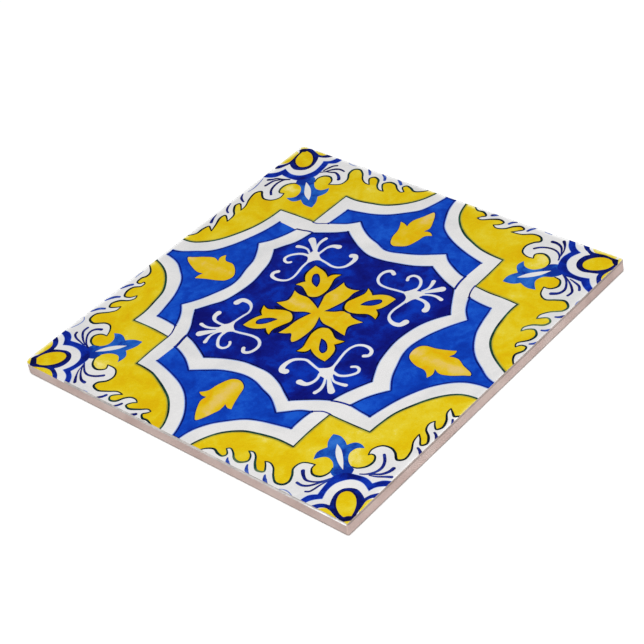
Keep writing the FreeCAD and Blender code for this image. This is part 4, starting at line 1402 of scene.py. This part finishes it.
def fired_clay(name, shades):
    """The fired clay body: matt and pinkish, with fine grit, soft stains and small pits."""
    material, tree = new_tree(name)
    place = add_node(tree, "ShaderNodeTexCoord").outputs["Object"]
    stain = add_noise(tree, place, CLAY_STAIN_SIZE, CLAY_STAIN_DETAIL)
    grit = add_noise(tree, place, CLAY_GRIT_SIZE, CLAY_GRIT_DETAIL)
    uneven = add_math(tree, "ADD", stain, add_math(tree, "MULTIPLY", grit, CLAY_GRIT_SHARE))
    uneven = add_math(tree, "ADD", uneven, -CLAY_GRIT_SHARE / 2)
    colour = add_ramp(tree, uneven, list(zip(SHADE_STOPS, shades)))
    bump = add_node(tree, "ShaderNodeBump", {
        "Strength": CLAY_BUMP_STRENGTH,
        "Distance": CLAY_BUMP * MM,
        "Height": grit})
    shader = add_node(tree, "ShaderNodeBsdfPrincipled", {
        "Base Color": colour,
        "Roughness": add_range(tree, grit, *CLAY_ROUGH),
        "Specular IOR Level": CLAY_SHEEN,
        "Normal": bump.outputs["Normal"]})
    add_node(tree, "ShaderNodeOutputMaterial", {"Surface": shader.outputs["BSDF"]})
    return material


def floor_white():
    """The white studio floor: it takes the tile's shadow, and shows plain white to the lens."""
    material, tree = new_tree("floor_white")
    paths = add_node(tree, "ShaderNodeLightPath").outputs
    seen = add_math(tree, "MAXIMUM", paths["Is Camera Ray"], paths["Is Glossy Ray"])
    seen = add_math(tree, "MAXIMUM", seen, paths["Is Transmission Ray"])
    shader = add_node(tree, "ShaderNodeBsdfPrincipled", {
        "Base Color": FLOOR_COLOUR,
        "Roughness": FLOOR_ROUGH,
        "Specular IOR Level": 0.0,
        "Emission Color": WHITE_LIGHT,
        "Emission Strength": add_math(tree, "MULTIPLY", seen, FLOOR_LIFT)})
    add_node(tree, "ShaderNodeOutputMaterial", {"Surface": shader.outputs["BSDF"]})
    return material


# The studio

def lay_floor():
    """A wide plain floor under the tile."""
    mesh = bpy.data.meshes.new("floor")
    corners = [(x * FLOOR_HALF, y * FLOOR_HALF, 0) for x, y in ((-1, -1), (1, -1), (1, 1), (-1, 1))]
    mesh.from_pydata(corners, [], [(0, 1, 2, 3)])
    mesh.materials.append(floor_white())
    floor = bpy.data.objects.new("floor", mesh)
    floor.location.z = TILE_LOW[2] - FLOOR_GAP
    bpy.context.scene.collection.objects.link(floor)


def hang_softbox(name, place, side, power):
    """A square softbox that looks at the tile, polarised so that the glaze doesn't mirror it."""
    lamp = bpy.data.lights.new(name, "AREA")
    lamp.size = side
    lamp.energy = power
    box = bpy.data.objects.new(name, lamp)
    box.location = place
    box.visible_glossy = False
    box.rotation_euler = (-Vector(place)).to_track_quat("-Z", "Y").to_euler()
    bpy.context.scene.collection.objects.link(box)


def light_world():
    """A dim even sky."""
    world = bpy.data.worlds.new("studio")
    world.use_nodes = True
    sky = world.node_tree.nodes["Background"]
    sky.inputs["Color"].default_value = WHITE_LIGHT
    sky.inputs["Strength"].default_value = SKY_STRENGTH
    bpy.context.scene.world = world


def set_camera():
    """The camera at the photograph's place and angle."""
    data = bpy.data.cameras.new("camera")
    data.sensor_width = SENSOR_WIDTH
    data.lens = LENS
    camera = bpy.data.objects.new("camera", data)
    right = Vector(CAMERA_RIGHT)
    up = -Vector(CAMERA_DOWN)
    back = right.cross(up)
    turned = Matrix((right, up, back)).transposed().to_4x4()
    camera.matrix_world = Matrix.Translation(CAMERA_PLACE) @ turned
    bpy.context.scene.collection.objects.link(camera)
    bpy.context.scene.camera = camera


tile = build_tile()
for paint in PAINTS:
    look = fired_clay(paint, CLAYS[paint]) if paint in CLAYS else glazed(paint, *GLAZES[paint])
    tile.data.materials.append(look)
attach(tile, "root")
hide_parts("tile")
lay_floor()
for softbox in SOFTBOXES:
    hang_softbox(*softbox)
light_world()
set_camera()
bpy.context.scene.view_settings.view_transform = "Standard"
